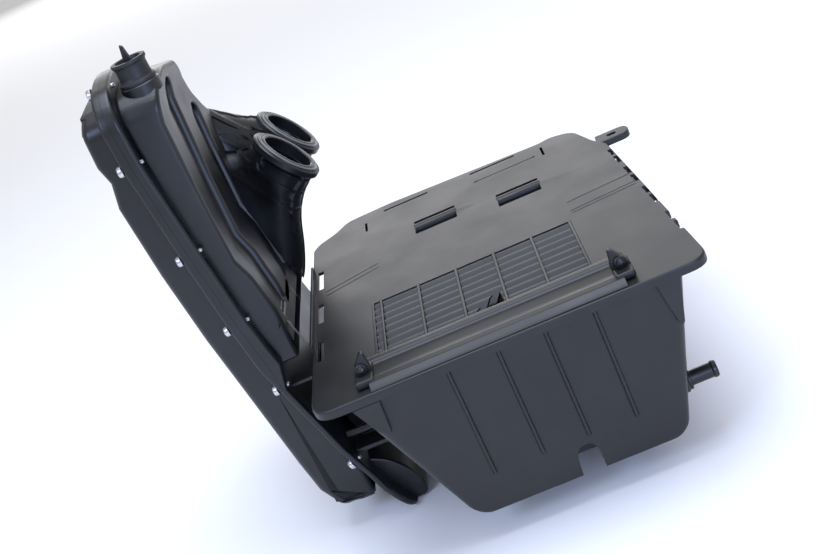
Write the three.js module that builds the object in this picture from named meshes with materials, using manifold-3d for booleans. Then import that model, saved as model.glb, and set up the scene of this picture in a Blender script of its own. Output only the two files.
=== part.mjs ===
// Engine air box with its slab plenum and twin outlet trumpets.
// Millimetres, +Z up. The cover plate lies level, the plenum stands beside it.
import * as THREE from 'three';
import { mergeVertices } from 'three/addons/utils/BufferGeometryUtils.js';
import Module from 'manifold-3d';

const wasm = await Module();
wasm.setup();

// ---------------------------------------------------------------- dimensions
// Working coordinates: the cover plate's top face is z = 0.
const FRAME_SHIFT = [-75, -178.87, 219];
const GAP = 0.3;
const WALL = 3;

// Cover plate: corner x, corner y, corner radius.
const PLATE_CORNERS = [
  [-86, -76, 30], [337, -78, 24], [313, 322, 4], [300, 352, 6], [284, 412, 18], [255, 425, 10],
  [236, 420, 4], [26, 436, 10], [-36, 432, 10], [-55, 408, 6], [-78, 392, 8], [-86, 378, 6],
];
const PLATE_THICK = 4;
const SKIRT_DEPTH = 10;
const SKIRT_WALL = 3;
const EAR = { x: 325, y: 344, length: 42, width: 28, thick: 9, holeX: 324, holeLong: 12, holeWide: 8 };
const LIP = { x0: -85, x1: -82, y0: 72, y1: 300, height: 9 };
const POCKETS = [
  { x0: 54, x1: 109, y0: 288, y1: 329 },
  { x0: 162, x1: 217, y0: 262, y1: 303 },
];
const POCKET_DEPTH = 13;
const POCKET_BAR_RADIUS = 7;
const SLOT_WIDTH = 5;
const SIDE_SLOT_Y = [
  [295, 274], [267, 243], [222, 199], [191, 168], [146, 124], [117, 92], [58, 35], [28, 4],
];
const LEFT_SLOT_Y = [[294, 240], [195, 143], [96, 45]];
const LEFT_SLOT_X = [-78.5, -71.5];
const BACK_SLOTS = [[16, 79, 412, 416], [139, 202, 411, 415]];
const CROSS_SLOTS = [[-11.5, -8.5, 367, 396], [236, 239, 371, 401]];

// Louvred inlet insert.
const GRILLE = { x0: -12, x1: 231, y0: -3, y1: 137, depth: 14, frame: 3, bladePitch: 16.75, blades: 8 };
// Wedge that is broken out of the front louvres, between two bars.
const BROKEN_BLADE = [[96, 6], [134, 2], [131.5, 41]];
const BAR_PITCH = 45.8;
const BAR_WIDTH = 3.2;

// Latch rail along the plate's front edge.
const RAIL = { x0: -14, x1: 250, back: -6, front: -74 };
const LUG_X = [-34, 246];
const LUG_WIDTH = 20;
const LUG_HEIGHT = 30;

// Air box tub: corner outlines at three heights.
const TUB_TOP = { x0: -54, x1: 312, x1Back: 284, y0: -70, y1: 402, z: -4.3, radius: 16 };
const TUB_KNEE = { x0: 15, x1: 263, x1Back: 250, y0: -69, y1: 384, z: -170, radius: 12 };
const TUB_FLOOR = { x0: 21, x1: 249, x1Back: 238, y0: -68, y1: 378, z: -185, radius: 10 };
const TUB_WALL = 3;
const TUB_RIM = { width: 2, thick: 4 };
const TUB_RIB_X = [57.6, 111.5, 161.6, 213.8];
const TUB_RIB = { top: -9, bottom: -139, width: 4, proud: 2.4 };
const NOTCH = { x0: 141, x1: 166, depth: 44, height: 36 };
const LEDGE = { top: -62, thick: 4, width: 13 };
const SPIGOT = { y: -30, z: -147, x1: 309, outer: 8.2, inner: 5.6 };

// Plenum: flange back, parting line and flange front at each height.
const FLANGE_LINES = [
  { z: 380, back: -169, part: -158.5, front: -147 },
  { z: 276, back: -167, part: -157, front: -146.5 },
  { z: 165, back: -158, part: -148, front: -136.5 },
  { z: 73, back: -149, part: -138, front: -126.5 },
  { z: 15, back: -141, part: -129, front: -115 },
  { z: -16, back: -132, part: -127, front: -122 },
  { z: -111, back: -105, part: -100.5, front: -96 },
  { z: -154, back: -88, part: -84, front: -80 },
  { z: -179, back: -80, part: -76, front: -72 },
  { z: -222, back: -57, part: -53, front: -49 },
];
// Back of the outer shell: x, z from its top to its floor.
const SHELL_BACK = [
  [-168, 352], [-181, 344], [-190, 334], [-193, 322], [-195, 284], [-190, 264], [-196, 236], [-191, 152],
  [-182, 65], [-170, -19], [-156, -118], [-149, -158], [-133, -187], [-80, -191],
];
// Raised deck face of the inner shell.
const DECK = [[-96, 352], [-103, 325], [-109, 300], [-111, 212], [-111, 137], [-103, 112], [-87, 6]];
const DECK_FOOT_Z = 6;
// Side view of the shells: y, z, corner radius.
const SHELL_OUTLINE = [
  [60, -191, 14], [60, 322, 14], [76, 338, 16], [131, 347, 60], [228, 330, 16], [254, 312, 16],
  [262, 285, 12], [302, 250, 20], [372, 218, 24], [382, 180, 24], [382, 40, 30], [335, -191, 30],
];
const FLANGE_WIDTH = 15;
const GROOVES = [
  { yTop: 143, yBottom: 112, zTop: 326, zBottom: 49, width: 44 },
  { yTop: 236, yBottom: 212, zTop: 270, zBottom: 52, width: 44 },
];
const GROOVE_DEPTH = 7;
const LEDGE_SLOTS = [[322, 292], [270, 186], [156, 92], [66, 22]];
const SCREW_STATIONS = [
  { y: 52.5, z: 276 }, { y: 52.5, z: 165 }, { y: 52.5, z: 73 }, { y: 52.5, z: -14 }, { y: 52.5, z: -132 },
  { y: 96, z: 350.5 }, { y: 205, z: 343 }, { y: 389.5, z: 150 }, { y: 389.5, z: 60 }, { y: 372, z: -60 },
  { y: 356, z: -146 }, { y: 150, z: -205 },
];
const SCREW = { shank: 2.5, head: 6.5, headHeight: 6 };

// Rubber mount bush on top of the plenum.
const BUSH = { x: -119, y: 92, seat: 344, pad: 21 };

// Straps that tie the plenum's flange to the tub.
const UPPER_STRAP = { z: -24, y0: 62, y1: 84, thick: 4 };
const LOWER_STRAP = { z: -131, y0: 62, y1: 90, thick: 5 };
const TIE_ROD = { z: -112, y: 78, outer: 5, inner: 3 };

// Trumpets: two ports side by side along y.
const PORT_Y = [262, 355];
const PORT = {
  x: -40, z: 168, tilt: Math.atan2(0.6, 0.8), bore: 30, rim: 43.5, thick: 11,
};

// ------------------------------------------------------------------- helpers
function toSolid(geometry) {
  const bare = geometry.index ? geometry.toNonIndexed() : geometry.clone();
  bare.deleteAttribute('normal');
  bare.deleteAttribute('uv');
  const merged = mergeVertices(bare, 1e-4);
  const mesh = new wasm.Mesh({
    numProp: 3,
    vertProperties: new Float32Array(merged.attributes.position.array),
    triVerts: new Uint32Array(merged.index.array),
  });
  return new wasm.Manifold(mesh);
}

function toGeometry(solid) {
  const mesh = solid.getMesh();
  const geometry = new THREE.BufferGeometry();
  const positions = new Float32Array(mesh.numVert * 3);
  for (let i = 0; i < mesh.numVert; i += 1) {
    for (let k = 0; k < 3; k += 1) {
      positions[i * 3 + k] = mesh.vertProperties[i * mesh.numProp + k];
    }
  }
  geometry.setAttribute('position', new THREE.BufferAttribute(positions, 3));
  geometry.setIndex(new THREE.BufferAttribute(new Uint32Array(mesh.triVerts), 1));
  geometry.computeVertexNormals();
  return geometry;
}

function shapeOf(points, radius = 0) {
  const shape = new THREE.Shape();
  const count = points.length;
  points.forEach((point, i) => {
    const previous = points[(i + count - 1) % count];
    const next = points[(i + 1) % count];
    const here = new THREE.Vector2(point[0], point[1]);
    const back = new THREE.Vector2(previous[0], previous[1]).sub(here);
    const ahead = new THREE.Vector2(next[0], next[1]).sub(here);
    const wanted = point[2] === undefined ? radius : point[2];
    const trim = Math.min(wanted, back.length() * 0.48, ahead.length() * 0.48);
    const enter = here.clone().addScaledVector(back.normalize(), trim);
    const leave = here.clone().addScaledVector(ahead.normalize(), trim);
    if (i === 0) {
      shape.moveTo(enter.x, enter.y);
    } else {
      shape.lineTo(enter.x, enter.y);
    }
    if (trim > 0.01) {
      shape.quadraticCurveTo(here.x, here.y, leave.x, leave.y);
    }
  });
  shape.closePath();
  return shape;
}

function extrude(shape, depth) {
  return new THREE.ExtrudeGeometry(shape, { depth, bevelEnabled: false, curveSegments: 3 });
}

// Prism standing on an x, y outline.
function prismZ(points, z0, z1, radius = 0) {
  const geometry = extrude(shapeOf(points, radius), z1 - z0);
  geometry.translate(0, 0, z0);
  return toSolid(geometry);
}

// Prism whose outline lies in x, z.
function prismY(points, y0, y1, radius = 0) {
  const geometry = extrude(shapeOf(points, radius), y1 - y0);
  geometry.rotateX(Math.PI / 2);
  geometry.translate(0, y1, 0);
  return toSolid(geometry);
}

// Prism whose outline lies in y, z.
function prismX(points, x0, x1, radius = 0) {
  const geometry = extrude(shapeOf(points, radius), x1 - x0);
  const turn = new THREE.Matrix4().set(0, 0, 1, 0, 1, 0, 0, 0, 0, 1, 0, 0, 0, 0, 0, 1);
  geometry.applyMatrix4(turn);
  geometry.translate(x0, 0, 0);
  return toSolid(geometry);
}

function box(x0, x1, y0, y1, z0, z1) {
  const geometry = new THREE.BoxGeometry(x1 - x0, y1 - y0, z1 - z0);
  geometry.translate((x0 + x1) / 2, (y0 + y1) / 2, (z0 + z1) / 2);
  return toSolid(geometry);
}

// Round bar from one point to another.
function rod(start, end, radius, segments = 20, endRadius = radius) {
  const from = new THREE.Vector3(...start);
  const to = new THREE.Vector3(...end);
  const axis = to.clone().sub(from);
  const geometry = new THREE.CylinderGeometry(endRadius, radius, axis.length(), segments);
  const upright = new THREE.Vector3(0, 1, 0);
  const turn = new THREE.Quaternion().setFromUnitVectors(upright, axis.clone().normalize());
  geometry.applyQuaternion(turn);
  const middle = from.add(to).multiplyScalar(0.5);
  geometry.translate(middle.x, middle.y, middle.z);
  return toSolid(geometry);
}

function signedVolume(positions, faces) {
  let sum = 0;
  for (let i = 0; i < faces.length; i += 3) {
    const a = positions[faces[i]];
    const b = positions[faces[i + 1]];
    const c = positions[faces[i + 2]];
    sum += a.dot(b.clone().cross(c));
  }
  return sum;
}

// Closed skin through equal rings of points, capped at both ends.
function loft(rings) {
  const count = rings[0].length;
  const positions = rings.flat();
  const faces = [];
  for (let r = 0; r + 1 < rings.length; r += 1) {
    for (let i = 0; i < count; i += 1) {
      const a = r * count + i;
      const b = r * count + ((i + 1) % count);
      faces.push(a, b, a + count, b, b + count, a + count);
    }
  }
  [0, rings.length - 1].forEach((r) => {
    const middle = new THREE.Vector3();
    rings[r].forEach((point) => middle.add(point));
    positions.push(middle.multiplyScalar(1 / count));
    const hub = positions.length - 1;
    for (let i = 0; i < count; i += 1) {
      const a = r * count + i;
      const b = r * count + ((i + 1) % count);
      faces.push(...(r === 0 ? [b, a, hub] : [a, b, hub]));
    }
  });
  if (signedVolume(positions, faces) < 0) {
    for (let i = 0; i < faces.length; i += 3) {
      [faces[i], faces[i + 1]] = [faces[i + 1], faces[i]];
    }
  }
  const numbers = positions.flatMap((p) => [p.x, p.y, p.z]);
  const geometry = new THREE.BufferGeometry();
  geometry.setAttribute('position', new THREE.Float32BufferAttribute(numbers, 3));
  geometry.setIndex(faces);
  return toSolid(geometry);
}

// Outline moved inwards (positive) or outwards (negative) by a distance.
function inset(points, distance) {
  const count = points.length;
  let area = 0;
  points.forEach((point, i) => {
    const next = points[(i + 1) % count];
    area += point[0] * next[1] - next[0] * point[1];
  });
  const side = Math.sign(area);
  return points.map((point, i) => {
    const previous = points[(i + count - 1) % count];
    const next = points[(i + 1) % count];
    const a = new THREE.Vector2(point[0] - previous[0], point[1] - previous[1]).normalize();
    const b = new THREE.Vector2(next[0] - point[0], next[1] - point[1]).normalize();
    const normalA = new THREE.Vector2(-a.y, a.x);
    const normalB = new THREE.Vector2(-b.y, b.x);
    const bisector = normalA.add(normalB).normalize();
    const spread = Math.max(0.5, bisector.dot(new THREE.Vector2(-b.y, b.x)));
    const step = (side * distance) / spread;
    const corner = [point[0] + bisector.x * step, point[1] + bisector.y * step];
    if (point[2] !== undefined) {
      corner.push(Math.max(0, point[2] - distance));
    }
    return corner;
  });
}

function union(solids) {
  return solids.reduce((sum, solid) => sum.add(solid));
}

function plastic(colour, roughness) {
  return new THREE.MeshStandardMaterial({ color: colour, roughness, metalness: 0 });
}

function metal(colour, roughness) {
  return new THREE.MeshStandardMaterial({ color: colour, roughness, metalness: 0.9 });
}

const assembly = new THREE.Group();

// A cut can leave slivers behind, so a part keeps only its largest body.
function largestBody(solid) {
  const bodies = solid.decompose();
  return bodies.reduce((best, body) => (body.volume() > best.volume() ? body : best));
}

function addPart(name, solid, material) {
  const mesh = new THREE.Mesh(toGeometry(largestBody(solid)), material);
  mesh.name = name;
  mesh.position.set(...FRAME_SHIFT);
  assembly.add(mesh);
}

// --------------------------------------------------------------- air box tub
function tubRing(level, grow = 0) {
  const corners = [
    [level.x0 - grow, level.y0 - grow], [level.x1 + grow, level.y0 - grow],
    [level.x1Back + grow, level.y1 + grow], [level.x0 - grow, level.y1 + grow],
  ];
  const radius = Math.max(1, level.radius + grow);
  const ring = [];
  corners.forEach((corner, i) => {
    const previous = corners[(i + 3) % 4];
    const next = corners[(i + 1) % 4];
    const here = new THREE.Vector2(...corner);
    const enter = new THREE.Vector2(...previous).sub(here).normalize().multiplyScalar(radius).add(here);
    const leave = new THREE.Vector2(...next).sub(here).normalize().multiplyScalar(radius).add(here);
    const curve = new THREE.QuadraticBezierCurve(enter, here, leave);
    curve.getPoints(5).forEach((point) => ring.push(new THREE.Vector3(point.x, point.y, level.z)));
  });
  return ring;
}

function notchBlock(grow) {
  const top = TUB_FLOOR.z + NOTCH.height + grow;
  const outline = [
    [NOTCH.x0 - grow - 3, TUB_FLOOR.z - 5], [NOTCH.x1 + grow, TUB_FLOOR.z - 5],
    [NOTCH.x1 + grow, top], [NOTCH.x0 - grow, top],
  ];
  return prismY(outline, TUB_FLOOR.y0 - 10, TUB_FLOOR.y0 + NOTCH.depth + grow);
}

function tubSolid() {
  const outside = loft([tubRing(TUB_TOP), tubRing(TUB_KNEE), tubRing(TUB_FLOOR)]);
  const insideTop = { ...TUB_TOP, z: TUB_TOP.z + 1 };
  const insideFloor = { ...TUB_FLOOR, z: TUB_FLOOR.z + TUB_WALL };
  const inside = loft([
    tubRing(insideTop, -TUB_WALL), tubRing(TUB_KNEE, -TUB_WALL), tubRing(insideFloor, -TUB_WALL),
  ]);
  const hollow = inside.subtract(notchBlock(TUB_WALL));
  const rimOutline = tubRing(TUB_TOP, TUB_RIM.width).map((p) => [p.x, p.y]);
  const mouth = tubRing(TUB_TOP, -TUB_WALL).map((p) => [p.x, p.y]);
  const rim = prismZ(rimOutline, TUB_TOP.z - TUB_RIM.thick, TUB_TOP.z);
  let tub = outside.add(rim);
  TUB_RIB_X.forEach((x) => {
    const y = TUB_TOP.y0;
    const half = TUB_RIB.width / 2;
    tub = tub.add(box(x - half, x + half, y - TUB_RIB.proud, y + 2, TUB_RIB.bottom, TUB_RIB.top));
  });
  // Raised corner gussets under the plate's front edge.
  const leftGusset = [[-46, -10.6], [-16, -10.6], [-20, -56], [-30, -44]];
  const rightGusset = [[278, -10.6], [304, -10.6], [291, -62], [287, -60]];
  tub = tub.add(prismY(leftGusset, TUB_TOP.y0 - 4, TUB_TOP.y0 + 2));
  tub = tub.add(prismY(rightGusset, TUB_TOP.y0 - 4, TUB_TOP.y0 + 2));
  // Seat for the spigot and the duct neck opening.
  tub = tub.add(rod([256, SPIGOT.y, SPIGOT.z], [276, SPIGOT.y, SPIGOT.z], 13, 24));
  tub = tub.subtract(notchBlock(0));
  tub = tub.subtract(hollow);
  tub = tub.subtract(prismZ(mouth, TUB_TOP.z - TUB_RIM.thick - 1, TUB_TOP.z + 1));
  tub = tub.subtract(rod([230, SPIGOT.y, SPIGOT.z], [300, SPIGOT.y, SPIGOT.z], SPIGOT.outer + GAP, 24));
  tub = tub.subtract(ductBlock(-WALL, 60));
  // Ledge that the filter rests on.
  const ledgeLevel = { ...TUB_TOP, x0: TUB_TOP.x0 + 15, x1: TUB_TOP.x1 - 6 };
  const ledgeOuter = tubRing(ledgeLevel, -1).map((p) => [p.x, p.y]);
  const ledgeInner = tubRing(ledgeLevel, -1 - LEDGE.width).map((p) => [p.x, p.y]);
  const ledgeTop = LEDGE.top;
  const ledgeLow = LEDGE.top - LEDGE.thick;
  const ledge = prismZ(ledgeOuter, ledgeLow, ledgeTop)
    .subtract(prismZ(ledgeInner, ledgeLow - 1, ledgeTop + 1));
  return tub.add(ledge.intersect(outside));
}

function spigotSolid() {
  const x0 = 262;
  const tube = rod([x0, SPIGOT.y, SPIGOT.z], [SPIGOT.x1, SPIGOT.y, SPIGOT.z], SPIGOT.outer, 24);
  const collar = rod([276.3, SPIGOT.y, SPIGOT.z], [279.3, SPIGOT.y, SPIGOT.z], 11.5, 24);
  const bead = rod([SPIGOT.x1 - 5, SPIGOT.y, SPIGOT.z], [SPIGOT.x1 - 1.5, SPIGOT.y, SPIGOT.z], 9.2, 24);
  const bore = rod([x0 - 5, SPIGOT.y, SPIGOT.z], [SPIGOT.x1 + 5, SPIGOT.y, SPIGOT.z], SPIGOT.inner, 20);
  return tube.add(collar).add(bead).subtract(bore);
}

// --------------------------------------------------------------- cover plate
function pocketTray(pocket) {
  const outline = [
    [pocket.y0 - 2, 0], [pocket.y1 + 2, 0],
    [pocket.y1 + 2, -POCKET_DEPTH - 2], [pocket.y0 + 12, -POCKET_DEPTH - 2],
  ];
  return prismX(outline, pocket.x0 - 2, pocket.x1 + 2, 1);
}

function pocketHollow(pocket) {
  const outline = [
    [pocket.y0, 1], [pocket.y1, 1], [pocket.y1, -POCKET_DEPTH],
    [pocket.y0 + 14, -POCKET_DEPTH], [pocket.y0, -3],
  ];
  return prismX(outline, pocket.x0, pocket.x1, 1);
}

function pocketBar(pocket) {
  const y = pocket.y1 - 13;
  const z = -6;
  return rod([pocket.x0 - 1, y, z], [pocket.x1 + 1, y, z], POCKET_BAR_RADIUS, 18)
    .add(box(pocket.x0 - 1, pocket.x1 + 1, y - 2, y + 2, -POCKET_DEPTH - 1, z));
}

function earSolid() {
  const half = EAR.width / 2;
  const outline = [
    [EAR.x - EAR.length / 2, EAR.y - half, 2], [EAR.x + EAR.length / 2, EAR.y - half, half],
    [EAR.x + EAR.length / 2, EAR.y + half, half], [EAR.x - EAR.length / 2, EAR.y + half, 2],
  ];
  return prismZ(outline, -EAR.thick, 0);
}

function coverPlateSolid() {
  let plate = prismZ(PLATE_CORNERS, -SKIRT_DEPTH, 0);
  plate = plate.subtract(prismZ(inset(PLATE_CORNERS, SKIRT_WALL), -SKIRT_DEPTH - 1, -PLATE_THICK));
  plate = plate.add(earSolid());
  plate = plate.add(box(LIP.x0, LIP.x1, LIP.y0, LIP.y1, -1, LIP.height));
  POCKETS.forEach((pocket) => {
    plate = plate.add(pocketTray(pocket));
    plate = plate.subtract(pocketHollow(pocket));
    plate = plate.add(pocketBar(pocket));
  });
  plate = plate.subtract(box(GRILLE.x0, GRILLE.x1, GRILLE.y0, GRILLE.y1, -SKIRT_DEPTH - 1, 1));
  const holeHalf = EAR.holeWide / 2;
  plate = plate.subtract(prismZ([
    [EAR.holeX - EAR.holeLong / 2, EAR.y - holeHalf], [EAR.holeX + EAR.holeLong / 2, EAR.y - holeHalf],
    [EAR.holeX + EAR.holeLong / 2, EAR.y + holeHalf], [EAR.holeX - EAR.holeLong / 2, EAR.y + holeHalf],
  ], -EAR.thick - 1, 1, 3.8));
  SIDE_SLOT_Y.forEach(([y1, y0]) => {
    const xNear = 330.5 - (y0 * 20) / 300;
    const xFar = 330.5 - (y1 * 20) / 300;
    const half = SLOT_WIDTH / 2;
    const outline = [[xNear - half, y0], [xNear + half, y0], [xFar + half, y1], [xFar - half, y1]];
    plate = plate.subtract(prismZ(outline, -PLATE_THICK - 1, 1));
  });
  LEFT_SLOT_Y.forEach(([y1, y0]) => {
    plate = plate.subtract(box(LEFT_SLOT_X[0], LEFT_SLOT_X[1], y0, y1, -PLATE_THICK - 1, 1));
  });
  [...BACK_SLOTS, ...CROSS_SLOTS].forEach(([x0, x1, y0, y1]) => {
    plate = plate.subtract(box(x0, x1, y0, y1, -PLATE_THICK - 1, 1));
  });
  return plate;
}

// -------------------------------------------------------------- inlet grille
function grilleSolid() {
  const g = GRILLE;
  const outer = box(g.x0 + GAP, g.x1 - GAP, g.y0 + GAP, g.y1 - GAP, -g.depth, 0.5);
  const inner = box(g.x0 + g.frame, g.x1 - g.frame, g.y0 + g.frame, g.y1 - g.frame, -g.depth - 1, 1);
  const parts = [outer.subtract(inner)];
  const bars = 5;
  for (let i = 0; i < bars; i += 1) {
    const x = i * BAR_PITCH;
    parts.push(box(x - BAR_WIDTH / 2, x + BAR_WIDTH / 2, g.y0 + 1, g.y1 - 1, -g.depth + 1, 1.2));
  }
  for (let i = 0; i < g.blades; i += 1) {
    const y = g.y0 + g.frame - 1 + i * g.bladePitch;
    const outline = [[y, -11.5], [y + 2.6, -11.5], [y + 16.4, -0.6], [y + 13.8, -0.6]];
    parts.push(prismX(outline, g.x0 + 1, g.x1 - 1));
  }
  return union(parts).subtract(prismZ(BROKEN_BLADE, -g.depth - 2, 3));
}

// ---------------------------------------------------------------- latch rail
function railSolid() {
  const profile = [
    [RAIL.back, GAP], [RAIL.back - 3, 7], [-20, 8], [-23, 4.5], [-50, 4], [-54, 6], [-66, 5.5],
    [RAIL.front, 2], [RAIL.front, GAP],
  ];
  let rail = prismX(profile, RAIL.x0 - 6, RAIL.x1 + 4);
  LUG_X.forEach((x, i) => {
    const tip = x + (i === 0 ? 14 : 2);
    const post = [
      [x, GAP], [x + LUG_WIDTH, GAP], [x + LUG_WIDTH, 10],
      [tip + 4, LUG_HEIGHT], [tip, LUG_HEIGHT], [x, 10],
    ];
    rail = rail.add(prismY(post, -44, -36));
    rail = rail.add(box(x, x + LUG_WIDTH, -62, -20, GAP, 9));
  });
  LUG_X.forEach((x) => {
    const centre = x + LUG_WIDTH / 2;
    rail = rail.subtract(rod([centre, -80, 14], [centre, 0, 14], 3 + GAP, 16));
  });
  return rail;
}

function lugPinSolid(x) {
  const centre = x + LUG_WIDTH / 2;
  const shank = rod([centre, -46, 14], [centre, -34, 14], 3, 16);
  const head = rod([centre, -48.5, 14], [centre, -45, 14], 5, 16);
  return shank.add(head);
}

// --------------------------------------------------------------- flat filter
const FILTER = { x0: -20, x1: 284, x1Back: 262, y0: -54, y1: 378, z0: -60, z1: -24, pleats: 26 };
const PAPER = { x0: -8, x1: 248, y0: -42, y1: 366 };

function filterPaperSolid() {
  const step = (PAPER.x1 - PAPER.x0) / FILTER.pleats;
  const upper = [];
  const lower = [];
  for (let i = 0; i <= FILTER.pleats; i += 1) {
    const x = PAPER.x0 + i * step;
    const crest = i % 2 === 0 ? FILTER.z1 - 5 : FILTER.z0 + 5;
    upper.push([x, crest + 2.5]);
    lower.unshift([x, crest - 2.5]);
  }
  return prismY([...upper, ...lower].reverse(), PAPER.y0, PAPER.y1);
}

function filterFrameSolid() {
  const f = FILTER;
  const outline = [[f.x0, f.y0], [f.x1, f.y0], [f.x1Back, f.y1], [f.x0, f.y1]];
  const window = box(PAPER.x0 - GAP, PAPER.x1 + GAP, PAPER.y0 - GAP, PAPER.y1 + GAP, f.z0 - 2, f.z1 + 2);
  return prismZ(outline, f.z0, f.z1, 8).subtract(window);
}

// -------------------------------------------------------------- plenum shells
function lineAt(key, z) {
  const rows = FLANGE_LINES;
  for (let i = 0; i + 1 < rows.length; i += 1) {
    if (z <= rows[i].z && z >= rows[i + 1].z) {
      const t = (rows[i].z - z) / (rows[i].z - rows[i + 1].z);
      return rows[i][key] + t * (rows[i + 1][key] - rows[i][key]);
    }
  }
  return z > rows[0].z ? rows[0][key] : rows[rows.length - 1][key];
}

function deckAt(z) {
  for (let i = 0; i + 1 < DECK.length; i += 1) {
    if (z <= DECK[i][1] && z >= DECK[i + 1][1]) {
      const t = (DECK[i][1] - z) / (DECK[i][1] - DECK[i + 1][1]);
      return DECK[i][0] + t * (DECK[i + 1][0] - DECK[i][0]);
    }
  }
  return z > DECK[0][1] ? DECK[0][0] : DECK[DECK.length - 1][0];
}

// Layer of the flange between two of its lines, between two side outlines.
function flangeLayer(keyLeft, shiftLeft, keyRight, shiftRight, outline) {
  const left = FLANGE_LINES.map((row) => [row[keyLeft] + shiftLeft, row.z]);
  const right = FLANGE_LINES.map((row) => [row[keyRight] + shiftRight, row.z]).reverse();
  const slab = prismY([...left, ...right], 0, 460);
  return slab.intersect(prismX(outline, -240, 0));
}

const FLANGE_OUTLINE = (() => {
  const grown = inset(SHELL_OUTLINE, -FLANGE_WIDTH);
  grown[0] = [45, -219, 26];
  grown[grown.length - 1] = [352, -170, 30];
  grown.push([250, -219, 40]);
  return grown;
})();

// Direction across the flange at a height, pointing from its back to its front.
function flangeNormal(z) {
  const step = 4;
  const run = lineAt('part', z + step) - lineAt('part', z - step);
  return new THREE.Vector2(2 * step, -run).normalize();
}

// Point on a screw's axis, measured from the parting line.
function screwPoint({ y, z }, distance) {
  const normal = flangeNormal(z);
  return [lineAt('part', z) + normal.x * distance, y, z + normal.y * distance];
}

function flangeHalf(z) {
  return (lineAt('part', z) - lineAt('back', z)) * flangeNormal(z).x;
}

function screwHoles(radius) {
  const reach = 40;
  return SCREW_STATIONS.map((station) => {
    const start = screwPoint(station, -reach);
    return rod(start, screwPoint(station, reach), radius, 10);
  });
}

function rightOf(key, shift) {
  const line = FLANGE_LINES.map((row) => [row[key] + shift, row.z]);
  return prismY([[200, 380], ...line, [200, -222]], 0, 460);
}

function outerShellSolid() {
  const rows = FLANGE_LINES.filter((row) => row.z > -190 && row.z < 352);
  const flangeSide = rows.map((row) => [row.part - GAP, row.z]);
  const profile = [...SHELL_BACK, [-76, -191], ...flangeSide.reverse(), [-158, 352]];
  const body = prismY(profile, 30, 420).intersect(prismX(SHELL_OUTLINE, -240, 0));
  const cavityProfile = [
    ...SHELL_BACK.map(([x, z]) => [x + WALL, Math.max(z, -191 + WALL)]), [-40, -188],
    [-40, 352],
  ];
  const cavity = prismY(cavityProfile, 30, 420).intersect(prismX(inset(SHELL_OUTLINE, WALL), -240, 0));
  const flange = flangeLayer('back', 0, 'part', -GAP, FLANGE_OUTLINE);
  let shell = body.add(flange).subtract(cavity);
  screwHoles(SCREW.shank + GAP).forEach((hole) => {
    shell = shell.subtract(hole);
  });
  SCREW_STATIONS.forEach((station) => {
    const seat = -flangeHalf(station.z);
    const spot = rod(screwPoint(station, seat - 14), screwPoint(station, seat), SCREW.head + 1, 12);
    shell = shell.subtract(spot);
  });
  return shell.subtract(sealSolid(GAP));
}

// Sealing cord in a groove of the outer shell's flange.
function sealSolid(grow) {
  const ring = flangeLayer('part', -3 - grow, 'part', -GAP + grow, inset(SHELL_OUTLINE, -3.5 - grow));
  return ring.subtract(prismX(inset(SHELL_OUTLINE, -1 + grow), -250, 10));
}

function grooveSolid(groove) {
  const half = groove.width / 2;
  const slant = [
    [groove.yBottom - half, groove.zBottom, 2], [groove.yBottom + half, groove.zBottom, 2],
    [groove.yTop + half, groove.zTop, 20], [groove.yTop - half, groove.zTop, 20],
  ];
  const floor = DECK.map(([x, z]) => [x - GROOVE_DEPTH, z]);
  const above = DECK.map(([x, z]) => [x + 30, z]).reverse();
  return prismY([...floor, ...above], 0, 460).intersect(prismX(slant, -200, 0));
}

function deckBlock(shift, outline, footShift) {
  const face = DECK.map(([x, z]) => [x + shift, z]);
  const foot = DECK_FOOT_Z + footShift;
  face[face.length - 1][1] = foot;
  const profile = [[-150 - shift, 352], ...face, [-126, foot]];
  return prismY(profile.reverse(), 0, 460).intersect(prismX(outline, -240, 0));
}

function sumpSolid(shrink) {
  const profile = [
    [-92, -146], [-80 - shrink, -147 - shrink], [-64 - shrink, -155 - shrink],
    [-47 - shrink, -174 - shrink], [-36 - shrink, -200], [-38 - shrink, -217 + shrink],
    [-60, -219 + shrink],
  ];
  const near = 70 + shrink;
  const far = 230 - shrink;
  return prismY(profile, near, far, 3).intersect(rightOf('part', GAP));
}

function innerShellSolid() {
  let shell = flangeLayer('part', GAP, 'front', 0, FLANGE_OUTLINE);
  shell = shell.add(deckBlock(0, SHELL_OUTLINE, 0));
  shell = shell.add(sumpSolid(0));
  GROOVES.forEach((groove) => {
    shell = shell.subtract(grooveSolid(groove));
  });
  let cavity = deckBlock(-WALL, inset(SHELL_OUTLINE, WALL), WALL);
  GROOVES.forEach((groove) => {
    const wider = { ...groove, width: groove.width + 2 * WALL };
    wider.zTop += WALL;
    wider.zBottom -= WALL;
    cavity = cavity.subtract(grooveSolid(wider).translate([-WALL, 0, 0]));
  });
  const pan = flangeLayer('part', -5, 'front', -WALL, inset(SHELL_OUTLINE, WALL));
  shell = shell.subtract(cavity.add(pan));
  shell = shell.subtract(sumpSolid(WALL).add(box(-96, -62, 76, 224, -186, -158)));
  LEDGE_SLOTS.forEach(([z1, z0]) => {
    const steps = [[lineAt('front', z0) - 8, z0], [lineAt('front', z0) + 6, z0],
      [lineAt('front', z1) + 6, z1], [lineAt('front', z1) - 8, z1]];
    shell = shell.subtract(prismY(steps, 50, 57));
  });
  screwHoles(SCREW.shank + GAP).forEach((hole) => {
    shell = shell.subtract(hole);
  });
  const rimOfDeck = prismX(inset(SHELL_OUTLINE, 2 * WALL + 1), -240, 0);
  PORT_Y.forEach((y, i) => {
    const opening = trumpetLoft(y, -WALL - 1 - 0.5 * i, -20 - 4 * i);
    shell = shell.subtract(opening.intersect(rimOfDeck));
  });
  shell = shell.subtract(ductBlock(-WALL, 60));
  return shell.add(rod([BUSH.x, BUSH.y, 332], [BUSH.x, BUSH.y, BUSH.seat], BUSH.pad, 24));
}

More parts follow.
